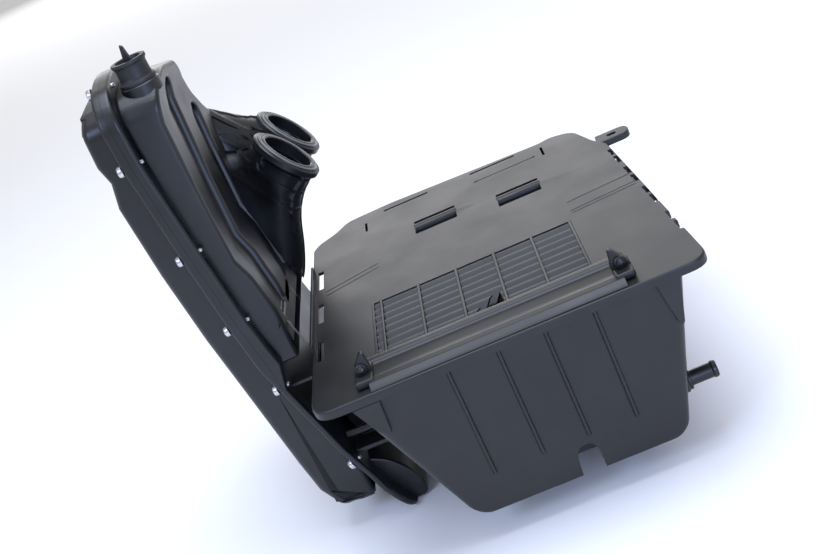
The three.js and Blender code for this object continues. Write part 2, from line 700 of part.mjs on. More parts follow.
function shellScrewSolid(station) {
  const seat = -flangeHalf(station.z) - GAP;
  const front = (lineAt('front', station.z) - lineAt('part', station.z)) * flangeNormal(station.z).x;
  const shank = rod(screwPoint(station, seat - 1), screwPoint(station, front + 3), SCREW.shank, 10);
  const head = rod(screwPoint(station, seat - SCREW.headHeight), screwPoint(station, seat), SCREW.head, 12);
  return shank.add(head);
}

// ------------------------------------------------------------------ trumpets
// Each trumpet from the deck to its port: top and bottom of its sections as x, z, their half
// width, and the share of the whole sweep along y that its root has there.
const SWEEP_SHARES = [1, 0.9, 0.76, 0.6, 0.41, 0.23, 0.09, 0];
const TRUMPETS = {
  [PORT_Y[0]]: {
    tops: [
      [-122, 192], [-112, 190], [-102, 187], [-93, 186], [-85, 187], [-78, 189], [-70, 191], [-62.2, 197.6],
    ],
    bottoms: [
      [-97, 10], [-88, 22], [-79, 40], [-71, 60], [-63, 84], [-54, 103], [-40, 121], [-17.8, 138.4],
    ],
    wide: [40, 40, 38.5, 37, 35.5, 34.5, 34, 37],
    topSweep: 28,
    bottomSweep: 3,
  },
  [PORT_Y[1]]: {
    tops: [
      [-124, 243], [-113, 238], [-102, 228], [-92, 218], [-83, 209], [-76, 203], [-69, 198], [-62.2, 197.6],
    ],
    bottoms: [
      [-100, 40], [-91, 48], [-83, 60], [-74, 74], [-65, 92], [-55, 106], [-40, 121], [-17.8, 138.4],
    ],
    wide: [38, 38, 37, 36, 35, 34.5, 34, 37],
    topSweep: -40,
    bottomSweep: -15,
  },
};
// The surface between the two trumpets leans from the front one's foot to the back one's top.
const DIVIDE = { middle: (PORT_Y[0] + PORT_Y[1]) / 2, topSweep: -35.5, bottomSweep: 16.5 };
const RIB_OFFSETS = [-16, 16];

function sectionRing(y, index, grow, count = 20) {
  const { tops, bottoms, wide, topSweep, bottomSweep } = TRUMPETS[y];
  const share = SWEEP_SHARES[index];
  const top = new THREE.Vector3(tops[index][0], y + topSweep * share, tops[index][1]);
  const bottom = new THREE.Vector3(bottoms[index][0], y + bottomSweep * share, bottoms[index][1]);
  const middle = top.clone().add(bottom).multiplyScalar(0.5);
  const up = top.clone().sub(bottom);
  const high = up.length() / 2;
  up.normalize();
  const across = new THREE.Vector3(0, 1, 0);
  const ring = [];
  for (let i = 0; i < count; i += 1) {
    const angle = (i / count) * Math.PI * 2;
    const point = middle.clone();
    point.addScaledVector(across, Math.cos(angle) * (wide[index] + grow));
    point.addScaledVector(up, Math.sin(angle) * (high + grow));
    ring.push(point);
  }
  return ring;
}

function trumpetLoft(y, grow, reach) {
  const rings = SWEEP_SHARES.map((share, index) => sectionRing(y, index, grow));
  if (grow < 0) {
    const step = new THREE.Vector3(Math.cos(PORT.tilt) * 12, 0, Math.sin(PORT.tilt) * 12);
    rings.push(rings[rings.length - 1].map((point) => point.clone().add(step)));
    rings.unshift(rings[0].map((point) => point.clone().add(new THREE.Vector3(reach, 0, 0))));
  }
  return loft(rings);
}

// Solid that follows a trumpet's sections, between a near and a far line along y.
function alongTrumpet(y, near, far) {
  const { tops, bottoms } = TRUMPETS[y];
  const rings = SWEEP_SHARES.map((share, index) => {
    const [xt, zt] = tops[index];
    const [xb, zb] = bottoms[index];
    const at = (t, line) => {
      const low = line.middle + line.bottomSweep * share;
      const high = line.middle + line.topSweep * share;
      return new THREE.Vector3(xb + (xt - xb) * t, low + (high - low) * t, zb + (zt - zb) * t);
    };
    return [at(-0.5, near), at(-0.5, far), at(1.5, far), at(1.5, near)];
  });
  rings.unshift(rings[0].map((point) => point.clone().add(new THREE.Vector3(-30, 0, 0))));
  const last = rings[rings.length - 1];
  rings.push(last.map((point) => point.clone().add(new THREE.Vector3(48, 0, 36))));
  return loft(rings);
}

// Space on the front trumpet's side of the surface between the two.
function frontSide(gap) {
  const flat = { middle: 100, topSweep: 0, bottomSweep: 0 };
  return alongTrumpet(PORT_Y[1], flat, { ...DIVIDE, middle: DIVIDE.middle + gap });
}

// Thin slice that follows a trumpet's line.
function ribSlice(y, offset) {
  const half = 1.5;
  const line = { ...TRUMPETS[y], middle: y + offset };
  return alongTrumpet(y, { ...line, middle: line.middle - half }, { ...line, middle: line.middle + half });
}

function portPoint(distance, y) {
  return [PORT.x + Math.cos(PORT.tilt) * distance, y, PORT.z + Math.sin(PORT.tilt) * distance];
}

function deckCutter(shift) {
  const face = DECK.map(([x, z]) => [x + shift, z]);
  const profile = [[-260, 352], ...face, [-87 + shift, -60], [-260, -60]];
  return prismY(profile.reverse(), 0, 480);
}

// Space inside a trumpet, from behind the deck to just behind the round bore.
function trumpetWay(y) {
  const way = trumpetLoft(y, -WALL, -20);
  return way.subtract(rod(portPoint(-6, y), portPoint(20, y), PORT.rim + 10));
}

function trumpetSolid(y) {
  let body = trumpetLoft(y, 0, 0);
  const skin = trumpetLoft(y, 2.4, 0);
  RIB_OFFSETS.forEach((offset) => {
    body = body.add(skin.intersect(ribSlice(y, offset)));
  });
  body = body.add(rod(portPoint(-PORT.thick, y), portPoint(0, y), PORT.rim, 32));
  body = y === PORT_Y[0] ? body.intersect(frontSide(-GAP)) : body.subtract(frontSide(GAP));
  body = body.subtract(trumpetWay(y));
  body = body.subtract(rod(portPoint(-16, y), portPoint(10, y), PORT.bore, 28));
  body = body.subtract(portSealSolid(y, GAP));
  return body.subtract(deckCutter(GAP));
}

function portSealSolid(y, grow) {
  const ring = rod(portPoint(-2 - grow, y), portPoint(1, y), 39 + grow, 28);
  return ring.subtract(rod(portPoint(-6, y), portPoint(6, y), 35 - grow, 28));
}

// ------------------------------------------------- duct, ties and mount bush
function ductBlock(shrink, reach) {
  // Clean-air duct between the tub's left wall and the plenum.
  const outline = [
    [-104 - reach, -62 + shrink], [-18 + reach, -68 + shrink],
    [10 + reach, -146 - shrink], [-84 - reach, -140 - shrink],
  ];
  return prismY(outline.reverse(), 112 - shrink, 262 + shrink);
}

function ductSolid() {
  const body = ductBlock(0, 0).subtract(ductBlock(-WALL, 30));
  const plenumSide = FLANGE_LINES.map((row) => [row.front + GAP, row.z]);
  const keepRight = prismY([...plenumSide.reverse(), [200, 380], [200, -222]].reverse(), 0, 460);
  const mouth = { ...TUB_TOP, z: 0, x0: TUB_TOP.x0 - 2 };
  const tubSide = loft([tubRing(mouth, GAP), tubRing(TUB_KNEE, GAP), tubRing(TUB_FLOOR, GAP)]);
  return body.intersect(keepRight).subtract(tubSide);
}

function tubWallX(z) {
  const t = (z - TUB_TOP.z) / (TUB_KNEE.z - TUB_TOP.z);
  return TUB_TOP.x0 + t * (TUB_KNEE.x0 - TUB_TOP.x0);
}

function strapSolid({ z, y0, y1, thick }) {
  const outline = [
    [lineAt('front', z) + GAP, z], [tubWallX(z) - GAP, z],
    [tubWallX(z + thick) - GAP, z + thick], [lineAt('front', z + thick) + GAP, z + thick],
  ];
  return prismY(outline, y0, y1);
}

function tieRodSolid() {
  const { z, y, outer, inner } = TIE_ROD;
  const left = lineAt('front', z - outer) + GAP;
  const right = tubWallX(z + outer) - GAP;
  const bore = rod([left - 6, y, z], [right + 5, y, z], inner, 14);
  return rod([left, y, z], [right, y, z], outer, 18).subtract(bore);
}

function bushSolid() {
  const outline = [
    [6, 0], [20, 0], [20, 3.5], [17.5, 5.5], [17, 20], [19, 22], [19, 25], [14, 25], [13, 21], [6, 21],
  ];
  const profile = outline.map(([radius, height]) => new THREE.Vector2(radius, BUSH.seat + GAP + height));
  profile.push(profile[0].clone());
  const geometry = new THREE.LatheGeometry(profile, 24);
  geometry.rotateX(Math.PI / 2);
  geometry.translate(BUSH.x, BUSH.y, 0);
  return toSolid(geometry);
}

function bushPinSolid() {
  const base = BUSH.seat + GAP;
  const shank = rod([BUSH.x, BUSH.y, base], [BUSH.x, BUSH.y, base + 22], 5.6, 16);
  const outline = [[-5, 20], [5, 20], [2, 39], [-1, 41]].map(([x, z]) => [BUSH.x + x, base + z]);
  return shank.add(prismY(outline, BUSH.y - 2.5, BUSH.y + 2.5));
}

// ------------------------------------------------------------------ assembly
const black = () => plastic(0x24272b, 0.42);
const satin = () => plastic(0x34363a, 0.5);

addPart('air_box_tub', tubSolid(), satin());
addPart('drain_spigot', spigotSolid(), black());
addPart('cover_plate', coverPlateSolid(), satin());
addPart('inlet_grille', grilleSolid(), plastic(0x3a3e48, 0.45));
addPart('latch_rail', railSolid(), satin());
addPart('lug_pin_left', lugPinSolid(LUG_X[0]), black());
addPart('lug_pin_right', lugPinSolid(LUG_X[1]), black());
addPart('filter_paper', filterPaperSolid(), plastic(0xb79a6a, 0.9));
addPart('filter_frame', filterFrameSolid(), plastic(0x2c2c2e, 0.8));
addPart('plenum_outer_shell', outerShellSolid(), black());
addPart('plenum_inner_shell', innerShellSolid(), satin());
addPart('plenum_seal', sealSolid(0), plastic(0x151515, 0.8));
addPart('trumpet_front', trumpetSolid(PORT_Y[0]), black());
addPart('trumpet_back', trumpetSolid(PORT_Y[1]), black());
addPart('port_seal_front', portSealSolid(PORT_Y[0], 0), plastic(0x6f6f6d, 0.6));
addPart('port_seal_back', portSealSolid(PORT_Y[1], 0), plastic(0x6f6f6d, 0.6));
addPart('clean_air_duct', ductSolid(), black());
addPart('tie_rod', tieRodSolid(), black());
addPart('upper_tie_strap', strapSolid(UPPER_STRAP), satin());
addPart('lower_tie_strap', strapSolid(LOWER_STRAP), satin());
addPart('mount_bush', bushSolid(), plastic(0x2b3036, 0.6));
addPart('mount_pin', bushPinSolid(), plastic(0x3c4048, 0.4));
SCREW_STATIONS.forEach((station, i) => {
  addPart(`shell_screw_${i + 1}`, shellScrewSolid(station), metal(0xd6d8da, 0.25));
});

export default assembly;
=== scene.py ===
"""Engine air box: a tub under a louvred cover plate, a slab plenum of two shells, and twin trumpets."""

import math

import bpy
from mathutils import Matrix, Vector


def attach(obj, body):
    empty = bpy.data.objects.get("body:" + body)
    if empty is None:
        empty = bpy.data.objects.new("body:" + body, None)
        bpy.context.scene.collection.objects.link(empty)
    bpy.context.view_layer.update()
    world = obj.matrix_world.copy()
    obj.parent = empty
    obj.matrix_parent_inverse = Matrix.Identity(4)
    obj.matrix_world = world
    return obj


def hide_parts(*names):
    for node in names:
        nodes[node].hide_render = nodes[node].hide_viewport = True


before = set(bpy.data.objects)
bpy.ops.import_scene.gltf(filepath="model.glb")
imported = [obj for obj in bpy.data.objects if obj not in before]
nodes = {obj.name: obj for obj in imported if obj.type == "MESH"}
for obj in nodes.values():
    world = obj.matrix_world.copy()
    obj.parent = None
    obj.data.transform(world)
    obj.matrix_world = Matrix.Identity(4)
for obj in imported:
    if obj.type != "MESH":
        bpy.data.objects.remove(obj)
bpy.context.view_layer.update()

# Working sizes are millimetres from the front left corner of the louvres, with the cover's top at z 0.
PLATE_ORIGIN = Vector((-75.0, -178.87, 219.0))


def place(x, y, z):
    """A point of the working sizes, in the row frame and in metres."""
    return (Vector((x, y, z)) + PLATE_ORIGIN) / 1000


# ------------------------------------------------------------------ materials
def linear(hex_colour):
    """An sRGB hex colour as linear red, green, blue and alpha."""
    parts = [int(hex_colour[i : i + 2], 16) / 255 for i in (1, 3, 5)]
    bent = [c / 12.92 if c <= 0.04045 else ((c + 0.055) / 1.055) ** 2.4 for c in parts]
    return (*bent, 1.0)


def add(tree, kind, inputs=None, links=None, **settings):
    """Adds one shader node, sets its sockets and options, and links it to earlier nodes."""
    node = tree.nodes.new("ShaderNode" + kind)
    for option, value in settings.items():
        setattr(node, option, value)
    for socket, value in (inputs or {}).items():
        node.inputs[socket].default_value = value
    for socket, (source, output) in (links or {}).items():
        tree.links.new(source.outputs[output], node.inputs[socket])
    return node


def new_material(name):
    """An empty material and its node tree."""
    material = bpy.data.materials.new(name)
    material.use_nodes = True
    material.node_tree.nodes.clear()
    return material, material.node_tree


def moulded_plastic(name, dark, pale, roughness, gloss, grain_mm, grain_height, cloud_mm):
    """Injection-moulded plastic: a fine spark-eroded grain, and cloudy marks from handling."""
    material, tree = new_material(name)
    coordinates = add(tree, "TexCoord")
    cloud = add(
        tree, "TexNoise", {"Scale": 1000 / cloud_mm, "Detail": 5, "Roughness": 0.6},
        {"Vector": (coordinates, "Object")},
    )
    grain = add(
        tree, "TexNoise", {"Scale": 1000 / grain_mm, "Detail": 3, "Roughness": 0.55},
        {"Vector": (coordinates, "Object")},
    )
    colour = add(tree, "ValToRGB", links={"Fac": (cloud, "Fac")})
    colour.color_ramp.elements[0].position = 0.38
    colour.color_ramp.elements[0].color = linear(dark)
    colour.color_ramp.elements[1].position = 0.72
    colour.color_ramp.elements[1].color = linear(pale)
    shine = add(
        tree, "MapRange",
        {"From Min": 0.3, "From Max": 0.75, "To Min": roughness - 0.05, "To Max": roughness + 0.07},
        {"Value": (cloud, "Fac")},
    )
    bump = add(
        tree, "Bump", {"Strength": 0.35, "Distance": grain_height / 1000}, {"Height": (grain, "Fac")}
    )
    surface = add(
        tree, "BsdfPrincipled", {"IOR": 1.5, "Specular IOR Level": gloss},
        {"Base Color": (colour, "Color"), "Roughness": (shine, "Result"), "Normal": (bump, "Normal")},
    )
    add(tree, "OutputMaterial", links={"Surface": (surface, "BSDF")})
    return material


# The grain of both plastics is about 0.2 mm on the real surface, and is drawn at 1.6 mm so that it shows.
MOULD_GRAIN = 1.6
# Glass-filled nylon, injection moulded: the skin is hard and even, so it is a cool black with a satin gleam
# along every rib.
nylon = moulded_plastic("glass_filled_nylon", "#0b0c0e", "#17191c", 0.36, 0.5, MOULD_GRAIN, 0.05, 55)
# Talc-filled polypropylene, injection moulded: the talc dulls the skin to a warmer and flatter black.
polypropylene = moulded_plastic(
    "talc_filled_polypropylene", "#0e0e0f", "#1b1b1b", 0.42, 0.5, MOULD_GRAIN, 0.05, 70
)


def plain(name, colour, roughness, metal=0.0, grain_mm=1.5, grain_height=0.04):
    """A surface of one colour whose gloss and height vary with a fine grain."""
    material, tree = new_material(name)
    coordinates = add(tree, "TexCoord")
    grain = add(
        tree, "TexNoise", {"Scale": 1000 / grain_mm, "Detail": 4}, {"Vector": (coordinates, "Object")}
    )
    tone = add(tree, "ValToRGB", links={"Fac": (grain, "Fac")})
    shade = linear(colour)
    tone.color_ramp.elements[0].color = (*(c * 0.8 for c in shade[:3]), 1)
    tone.color_ramp.elements[1].color = (*(min(1, c * 1.15) for c in shade[:3]), 1)
    shine = add(
        tree, "MapRange", {"To Min": roughness - 0.06, "To Max": roughness + 0.08},
        {"Value": (grain, "Fac")},
    )
    bump = add(tree, "Bump", {"Strength": 0.4, "Distance": grain_height / 1000}, {"Height": (grain, "Fac")})
    surface = add(
        tree, "BsdfPrincipled", {"Metallic": metal},
        {"Base Color": (tone, "Color"), "Roughness": (shine, "Result"), "Normal": (bump, "Normal")},
    )
    add(tree, "OutputMaterial", links={"Surface": (surface, "BSDF")})
    return material


# Zinc-plated steel, barrel plated and bright dipped: a clear silver gleam, broken up a little by tumbling.
zinc = plain("bright_zinc_plated_steel", "#c9ccd0", 0.24, 1.0, 0.8, 0.01)
# Natural rubber, pressed in a mould: a soft, even black with a faint bloom.
rubber = plain("moulded_rubber", "#141416", 0.5, 0.0, 1.2, 0.05)
# Silicone, moulded: an even mid grey with a slightly greasy sheen.
silicone = plain("grey_silicone", "#6d6d6a", 0.45, 0.0, 1.2, 0.03)
# Filter paper, laid from long fibres and cured with resin: a dry, mottled tan with no gloss.
paper = plain("resin_treated_filter_paper", "#8a6f4b", 0.85, 0.0, 1.0, 0.08)
# Polyurethane foam, moulded: small open cells that take up the light.
foam = plain("polyurethane_foam", "#1b1a1a", 0.8, 0.0, 1.0, 0.1)


# ------------------------------------------------------------ modelling tools
def take(*pieces):
    """Leaves only these pieces selected, the last of them active."""
    bpy.ops.object.select_all(action="DESELECT")
    for piece in pieces:
        piece.select_set(True)
        bpy.context.view_layer.objects.active = piece


def join(name, pieces):
    """One object of several, under a new name."""
    take(*pieces)
    if len(pieces) > 1:
        bpy.ops.object.join()
    whole = bpy.context.view_layer.objects.active
    whole.name = name
    return whole


def rounded(corners, steps=6):
    """An outline with its round corners drawn. A corner is two sizes and, if it is round, a radius."""
    ring = []
    for i, corner in enumerate(corners):
        here = Vector(corner[:2])
        before = Vector(corners[i - 1][:2]) - here
        after = Vector(corners[(i + 1) % len(corners)][:2]) - here
        radius = corner[2] if len(corner) > 2 else 0
        trim = min(radius, before.length * 0.48, after.length * 0.48)
        if trim < 0.01:
            ring.append(tuple(here))
            continue
        enter = here + before.normalized() * trim
        leave = here + after.normalized() * trim
        for step in range(steps + 1):
            t = step / steps
            ring.append(tuple(enter * (1 - t) ** 2 + here * 2 * t * (1 - t) + leave * t * t))
    return ring


def inset(corners, distance):
    """An outline moved inwards by a distance, or outwards by a negative one."""
    area = sum(a[0] * b[1] - b[0] * a[1] for a, b in zip(corners, corners[1:] + corners[:1]))
    moved = []
    for i, corner in enumerate(corners):
        here = Vector(corner[:2])
        a = (here - Vector(corners[i - 1][:2])).normalized()
        b = (Vector(corners[(i + 1) % len(corners)][:2]) - here).normalized()
        middle = (Vector((-a.y, a.x)) + Vector((-b.y, b.x))).normalized()
        step = math.copysign(1, area) * distance / max(0.5, middle.dot(Vector((-b.y, b.x))))
        radius = (max(0.0, corner[2] - distance),) if len(corner) > 2 else ()
        moved.append((here.x + middle.x * step, here.y + middle.y * step, *radius))
    return moved


def loft(name, rings):
    """A closed solid: a circle is shaped to each ring of points, and all are bridged and capped."""
    circles = []
    for ring in rings:
        bpy.ops.object.select_all(action="DESELECT")
        bpy.ops.mesh.primitive_circle_add(vertices=len(ring))
        circle = bpy.context.object
        for vertex, point in zip(circle.data.vertices, ring):
            vertex.co = place(*point)
        circles.append(circle)
    solid = join(name, circles)
    bpy.ops.object.mode_set(mode="EDIT")
    bpy.ops.mesh.select_all(action="SELECT")
    bpy.ops.mesh.bridge_edge_loops()
    bpy.ops.mesh.select_all(action="SELECT")
    bpy.ops.mesh.fill_holes(sides=0)
    bpy.ops.mesh.select_all(action="SELECT")
    bpy.ops.mesh.normals_make_consistent(inside=False)
    bpy.ops.mesh.vert_connect_nonplanar(angle_limit=math.radians(0.05))
    bpy.ops.object.mode_set(mode="OBJECT")
    return solid


def prism_x(name, outline, x0, x1):
    """A y, z outline carried along x."""
    return loft(name, [[(x, y, z) for y, z in rounded(outline)] for x in (x0, x1)])


def prism_y(name, outline, y0, y1):
    """An x, z outline carried along y."""
    return loft(name, [[(x, y, z) for x, z in rounded(outline)] for y in (y0, y1)])


def prism_z(name, outline, z0, z1):
    """An x, y outline carried along z."""
    return loft(name, [[(x, y, z) for x, y in rounded(outline)] for z in (z0, z1)])


def block(name, x, y, z, edge=0.0):
    """A box between pairs of x, y and z, with its edges bevelled in edit mode."""
    bpy.ops.object.select_all(action="DESELECT")
    low, high = place(x[0], y[0], z[0]), place(x[1], y[1], z[1])
    bpy.ops.mesh.primitive_cube_add(size=1, location=(low + high) / 2)
    box = bpy.context.object
    box.name = name
    box.scale = high - low
    bpy.ops.object.transform_apply(location=True, rotation=True, scale=True)
    if edge:
        bpy.ops.object.mode_set(mode="EDIT")
        bpy.ops.mesh.select_all(action="SELECT")
        bpy.ops.mesh.bevel(offset=edge / 1000, segments=3, affect="EDGES")
        bpy.ops.object.mode_set(mode="OBJECT")
    return box


def turned(name, start, direction, profile, steps=40):
    """A ring or bar of revolution: its closed profile of radius and distance is spun round the axis."""
    axis = Vector(direction).normalized()
    side = axis.orthogonal().normalized()
    bpy.ops.object.select_all(action="DESELECT")
    bpy.ops.mesh.primitive_circle_add(vertices=len(profile))
    piece = bpy.context.object
    piece.name = name
    for vertex, (radius, distance) in zip(piece.data.vertices, profile):
        vertex.co = place(*start) + (axis * distance + side * radius) / 1000
    bpy.ops.object.mode_set(mode="EDIT")
    bpy.ops.mesh.select_all(action="SELECT")
    bpy.ops.mesh.spin(steps=steps, angle=2 * math.pi, center=place(*start), axis=axis)
    bpy.ops.mesh.select_all(action="SELECT")
    bpy.ops.mesh.remove_doubles(threshold=0.00002)
    bpy.ops.mesh.delete_loose()
    bpy.ops.mesh.select_all(action="SELECT")
    bpy.ops.mesh.normals_make_consistent(inside=False)
    bpy.ops.object.mode_set(mode="OBJECT")
    return piece


def bar(name, start, end, radius, edge=0.0, steps=28):
    """A round bar from one point to another, its two end edges eased."""
    length = (Vector(end) - Vector(start)).length
    ease = max(edge, 0.01)
    profile = [
        (0, 0), (radius - ease, 0), (radius, ease), (radius, length - ease), (radius - ease, length),
        (0, length),
    ]
    return turned(name, start, Vector(end) - Vector(start), profile, steps)


def modify(piece, kind, **settings):
    """Adds one modifier and applies it."""
    take(piece)
    modifier = piece.modifiers.new(kind.lower(), kind)
    for option, value in settings.items():
        setattr(modifier, option, value)
    bpy.ops.object.modifier_apply(modifier=modifier.name)
    return piece


def combine(piece, tool, operation):
    """Applies a boolean with a tool, which is used up."""
    modify(piece, "BOOLEAN", object=tool, operation=operation, solver="MANIFOLD")
    bpy.data.objects.remove(tool)
    return piece


def weld(piece, *tools):
    """Adds solids to a piece."""
    for tool in tools:
        combine(piece, tool, "UNION")
    return piece


def cut(piece, *tools):
    """Takes solids out of a piece."""
    for tool in tools:
        combine(piece, tool, "DIFFERENCE")
    return piece


def keep(piece, tool):
    """Leaves only what lies inside another solid."""
    return combine(piece, tool, "INTERSECT")


def copy_of(piece, name):
    """A copy with its own mesh."""
    twin = piece.copy()
    twin.data = piece.data.copy()
    twin.name = name
    bpy.context.scene.collection.objects.link(twin)
    return twin


def tidy(piece, reach=0.02):
    """Welds near points after cuts and splits hollow-sided faces."""
    take(piece)
    bpy.ops.object.mode_set(mode="EDIT")
    bpy.ops.mesh.select_all(action="SELECT")
    bpy.ops.mesh.remove_doubles(threshold=reach / 1000)
    bpy.ops.mesh.vert_connect_concave()
    bpy.ops.object.mode_set(mode="OBJECT")
    return piece


def soften(piece, width, segments=3, angle=38):
    """Rounds every edge sharper than an angle."""
    return modify(
        piece, "BEVEL", width=width / 1000, segments=segments, limit_method="ANGLE",
        angle_limit=math.radians(angle), use_clamp_overlap=False, miter_outer="MITER_ARC",
    )


def fit(piece, material, slot, body, *stands_for):
    """Gives a finished piece its shading, material and body, and hides the CAD nodes that it stands for."""
    take(piece)
    bpy.ops.object.shade_smooth_by_angle(angle=math.radians(35))
    modify(piece, "WEIGHTED_NORMAL", keep_sharp=True, weight=60)
    piece.data.materials.clear()
    piece.data.materials.append(material)
    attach(piece, body)
    if stands_for:
        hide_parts(*stands_for)
    return piece


def eased_copy(node, width):
    """A CAD node's own shape with its triangles merged and its edges eased."""
    piece = copy_of(nodes[node], node + "_moulded")
    piece.parent = None
    take(piece)
    bpy.ops.object.mode_set(mode="EDIT")
    bpy.ops.mesh.select_all(action="SELECT")
    bpy.ops.mesh.remove_doubles(threshold=0.00002)
    bpy.ops.mesh.dissolve_limited(angle_limit=math.radians(0.5))
    bpy.ops.object.mode_set(mode="OBJECT")
    return soften(piece, width, 2) if width else piece


# --------------------------------------------------------------- working sizes
# The cover plate's outline from above.
PLATE = [
    (-86, -76, 30), (337, -78, 24), (313, 322, 4), (300, 352, 6), (284, 412, 18), (255, 425, 10),
    (236, 420, 4), (26, 436, 10), (-36, 432, 10), (-55, 408, 6), (-78, 392, 8), (-86, 378, 6),
]
# The clamping flange's back, parting and front faces, the outer shell's back and the deck's face, as x and
# z from the top down.
FLANGE_BACK = [
    (-169, 380), (-167, 276), (-158, 165), (-149, 73), (-141, 15), (-132, -16), (-105, -111), (-88, -154),
    (-80, -179), (-57, -222),
]
FLANGE_PART = [
    (-158.5, 380), (-157, 276), (-148, 165), (-138, 73), (-129, 15), (-127, -16), (-100.5, -111),
    (-84, -154), (-76, -179), (-53, -222),
]
FLANGE_FRONT = [
    (-147, 380), (-146.5, 276), (-136.5, 165), (-126.5, 73), (-115, 15), (-122, -16), (-96, -111),
    (-80, -154), (-72, -179), (-49, -222),
]
SHELL_BACK = [
    (-168, 352), (-181, 344), (-190, 334), (-193, 322), (-195, 284), (-190, 264), (-196, 236), (-191, 152),
    (-182, 65), (-170, -19), (-156, -118), (-149, -158), (-133, -187), (-80, -191),
]
DECK = [(-96, 352), (-103, 325), (-109, 300), (-111, 212), (-111, 137), (-103, 112), (-87, 6)]
# The shells' outline from the side, and the flange's, which stands 15 outside it.
SHELL_SIDE = [
    (60, -191, 14), (60, 322, 14), (76, 338, 16), (131, 347, 60), (228, 330, 16), (254, 312, 16),
    (262, 285, 12), (302, 250, 20), (372, 218, 24), (382, 180, 24), (382, 40, 30), (335, -191, 30),
]
FLANGE_SIDE = inset(SHELL_SIDE, -15)
FLANGE_SIDE[0] = (45, -219, 26)
FLANGE_SIDE[-1] = (352, -170, 30)
FLANGE_SIDE.append((250, -219, 40))
# The deck's two channels from the side.
GROOVES = [
    [(90, 49, 3), (134, 49, 3), (165, 326, 20), (121, 326, 20)],
    [(190, 52, 3), (234, 52, 3), (258, 270, 20), (214, 270, 20)],
]
# The flange screws' y and z.
SCREWS = [
    (52.5, 276), (52.5, 165), (52.5, 73), (52.5, -14), (52.5, -132), (96, 350.5), (205, 343), (389.5, 150),
    (389.5, 60), (372, -60), (356, -146), (150, -205),
]
# The way through the plenum's deck and the tub's left wall for the duct, as x and z and as a span of y.
DUCT_WAY = [(-160, -65), (-44, -71), (-24, -137), (-140, -137)]
DUCT_SPAN = (115, 259)
SPIGOT_Y, SPIGOT_Z = -30, -147
BUSH_X, BUSH_Y, BUSH_Z = -119, 92, 344
LUG_PINS = {"lug_pin_left": -24, "lug_pin_right": 256}
LUG_PIN_Z = 14
# The two ports' y, and the middle of their faces, which lean by 3 in 4 along PORT_AXIS.
PORTS = {"front": 262, "back": 355}
PORT_X, PORT_Z = -40, 168
PORT_AXIS = Vector((0.8, 0, 0.6))
# Stations along a trumpet: x and z of its section's top and foot, half width, and share of the whole sweep.
TRUMPETS = {
    262: [
        (-122, 192, -97, 10, 40, 1), (-112, 190, -88, 22, 40, 0.9), (-102, 187, -79, 40, 38.5, 0.76),
        (-93, 186, -71, 60, 37, 0.6), (-85, 187, -63, 84, 35.5, 0.41), (-78, 189, -54, 103, 34.5, 0.23),
        (-70, 191, -40, 121, 34, 0.09), (-62.2, 197.6, -17.8, 138.4, 37, 0),
    ],
    355: [
        (-124, 243, -100, 40, 38, 1), (-113, 238, -91, 48, 38, 0.9), (-102, 228, -83, 60, 37, 0.76),
        (-92, 218, -74, 74, 36, 0.6), (-83, 209, -65, 92, 35, 0.41), (-76, 203, -55, 106, 34.5, 0.23),
        (-69, 198, -40, 121, 34, 0.09), (-62.2, 197.6, -17.8, 138.4, 37, 0),
    ],
}
# How far the top and the foot of each root are swept along y from its port.
SWEEPS = {262: (28, 3), 355: (-40, -15)}
# The surface between the trumpets, swept in the same way, and half of the gap that it leaves.
DIVIDE_Y, DIVIDE_SWEEP, DIVIDE_GAP = 308.5, (-35.5, 16.5), 0.15


def along(line, z):
    """The x of a line of x, z points at a height."""
    for (x1, z1), (x2, z2) in zip(line, line[1:]):
        if z2 <= z <= z1:
            return x1 + (x2 - x1) * (z1 - z) / (z1 - z2)
    return line[0][0] if z > line[0][1] else line[-1][0]


def shifted(line, distance):
    """A line of x and z, moved along x."""
    return [(x + distance, z) for x, z in line]


# ------------------------------------------------------------------- the tub
TUB_TOP, TUB_FLOOR = -4.3, -185
WALL = 3
FLOOR_RADIUS = 14
# The height from which the walls lean out, and the height over which their whole lean is measured.
TAPER_FOOT, TAPER_HEIGHT = -170, 166


def tub_ring(x0, x1, x1_back, y0, y1, radius, z, grow=0.0):
    """One level of the tub. Its right side is at x1 in front and at x1_back behind."""
    corners = [
        (x0 - grow, y0 - grow, radius + grow), (x1 + grow, y0 - grow, radius + grow),
        (x1_back + grow, y1 + grow, radius + grow), (x0 - grow, y1 + grow, radius + grow),
    ]
    return [(x, y, z) for x, y in rounded(corners, 8)]


def tub_rings(grow, top, floor):
    """Rings of the tub's taper, with its floor edge rounded over."""
    rings = []
    for step in range(6):
        turn = math.radians(90 - 18 * step)
        pull = FLOOR_RADIUS * (1 - math.cos(turn))
        z = floor + FLOOR_RADIUS * (1 - math.sin(turn))
        share = (z - TAPER_FOOT) / TAPER_HEIGHT
        corner = 12 - 0.4 * pull
        x0, x1, x1_back, y1 = 15 - 69 * share, 263 + 49 * share, 250 + 34 * share, 384 + 18 * share
        y0 = -69 - share + pull * 0.15
        rings.append(tub_ring(x0 + pull, x1 - pull, x1_back - pull, y0, y1 - pull, corner, z, grow))
    rings.reverse()
    rings.append(tub_ring(-54, 312, 284, -70, 402, 16, top, grow))
    return rings


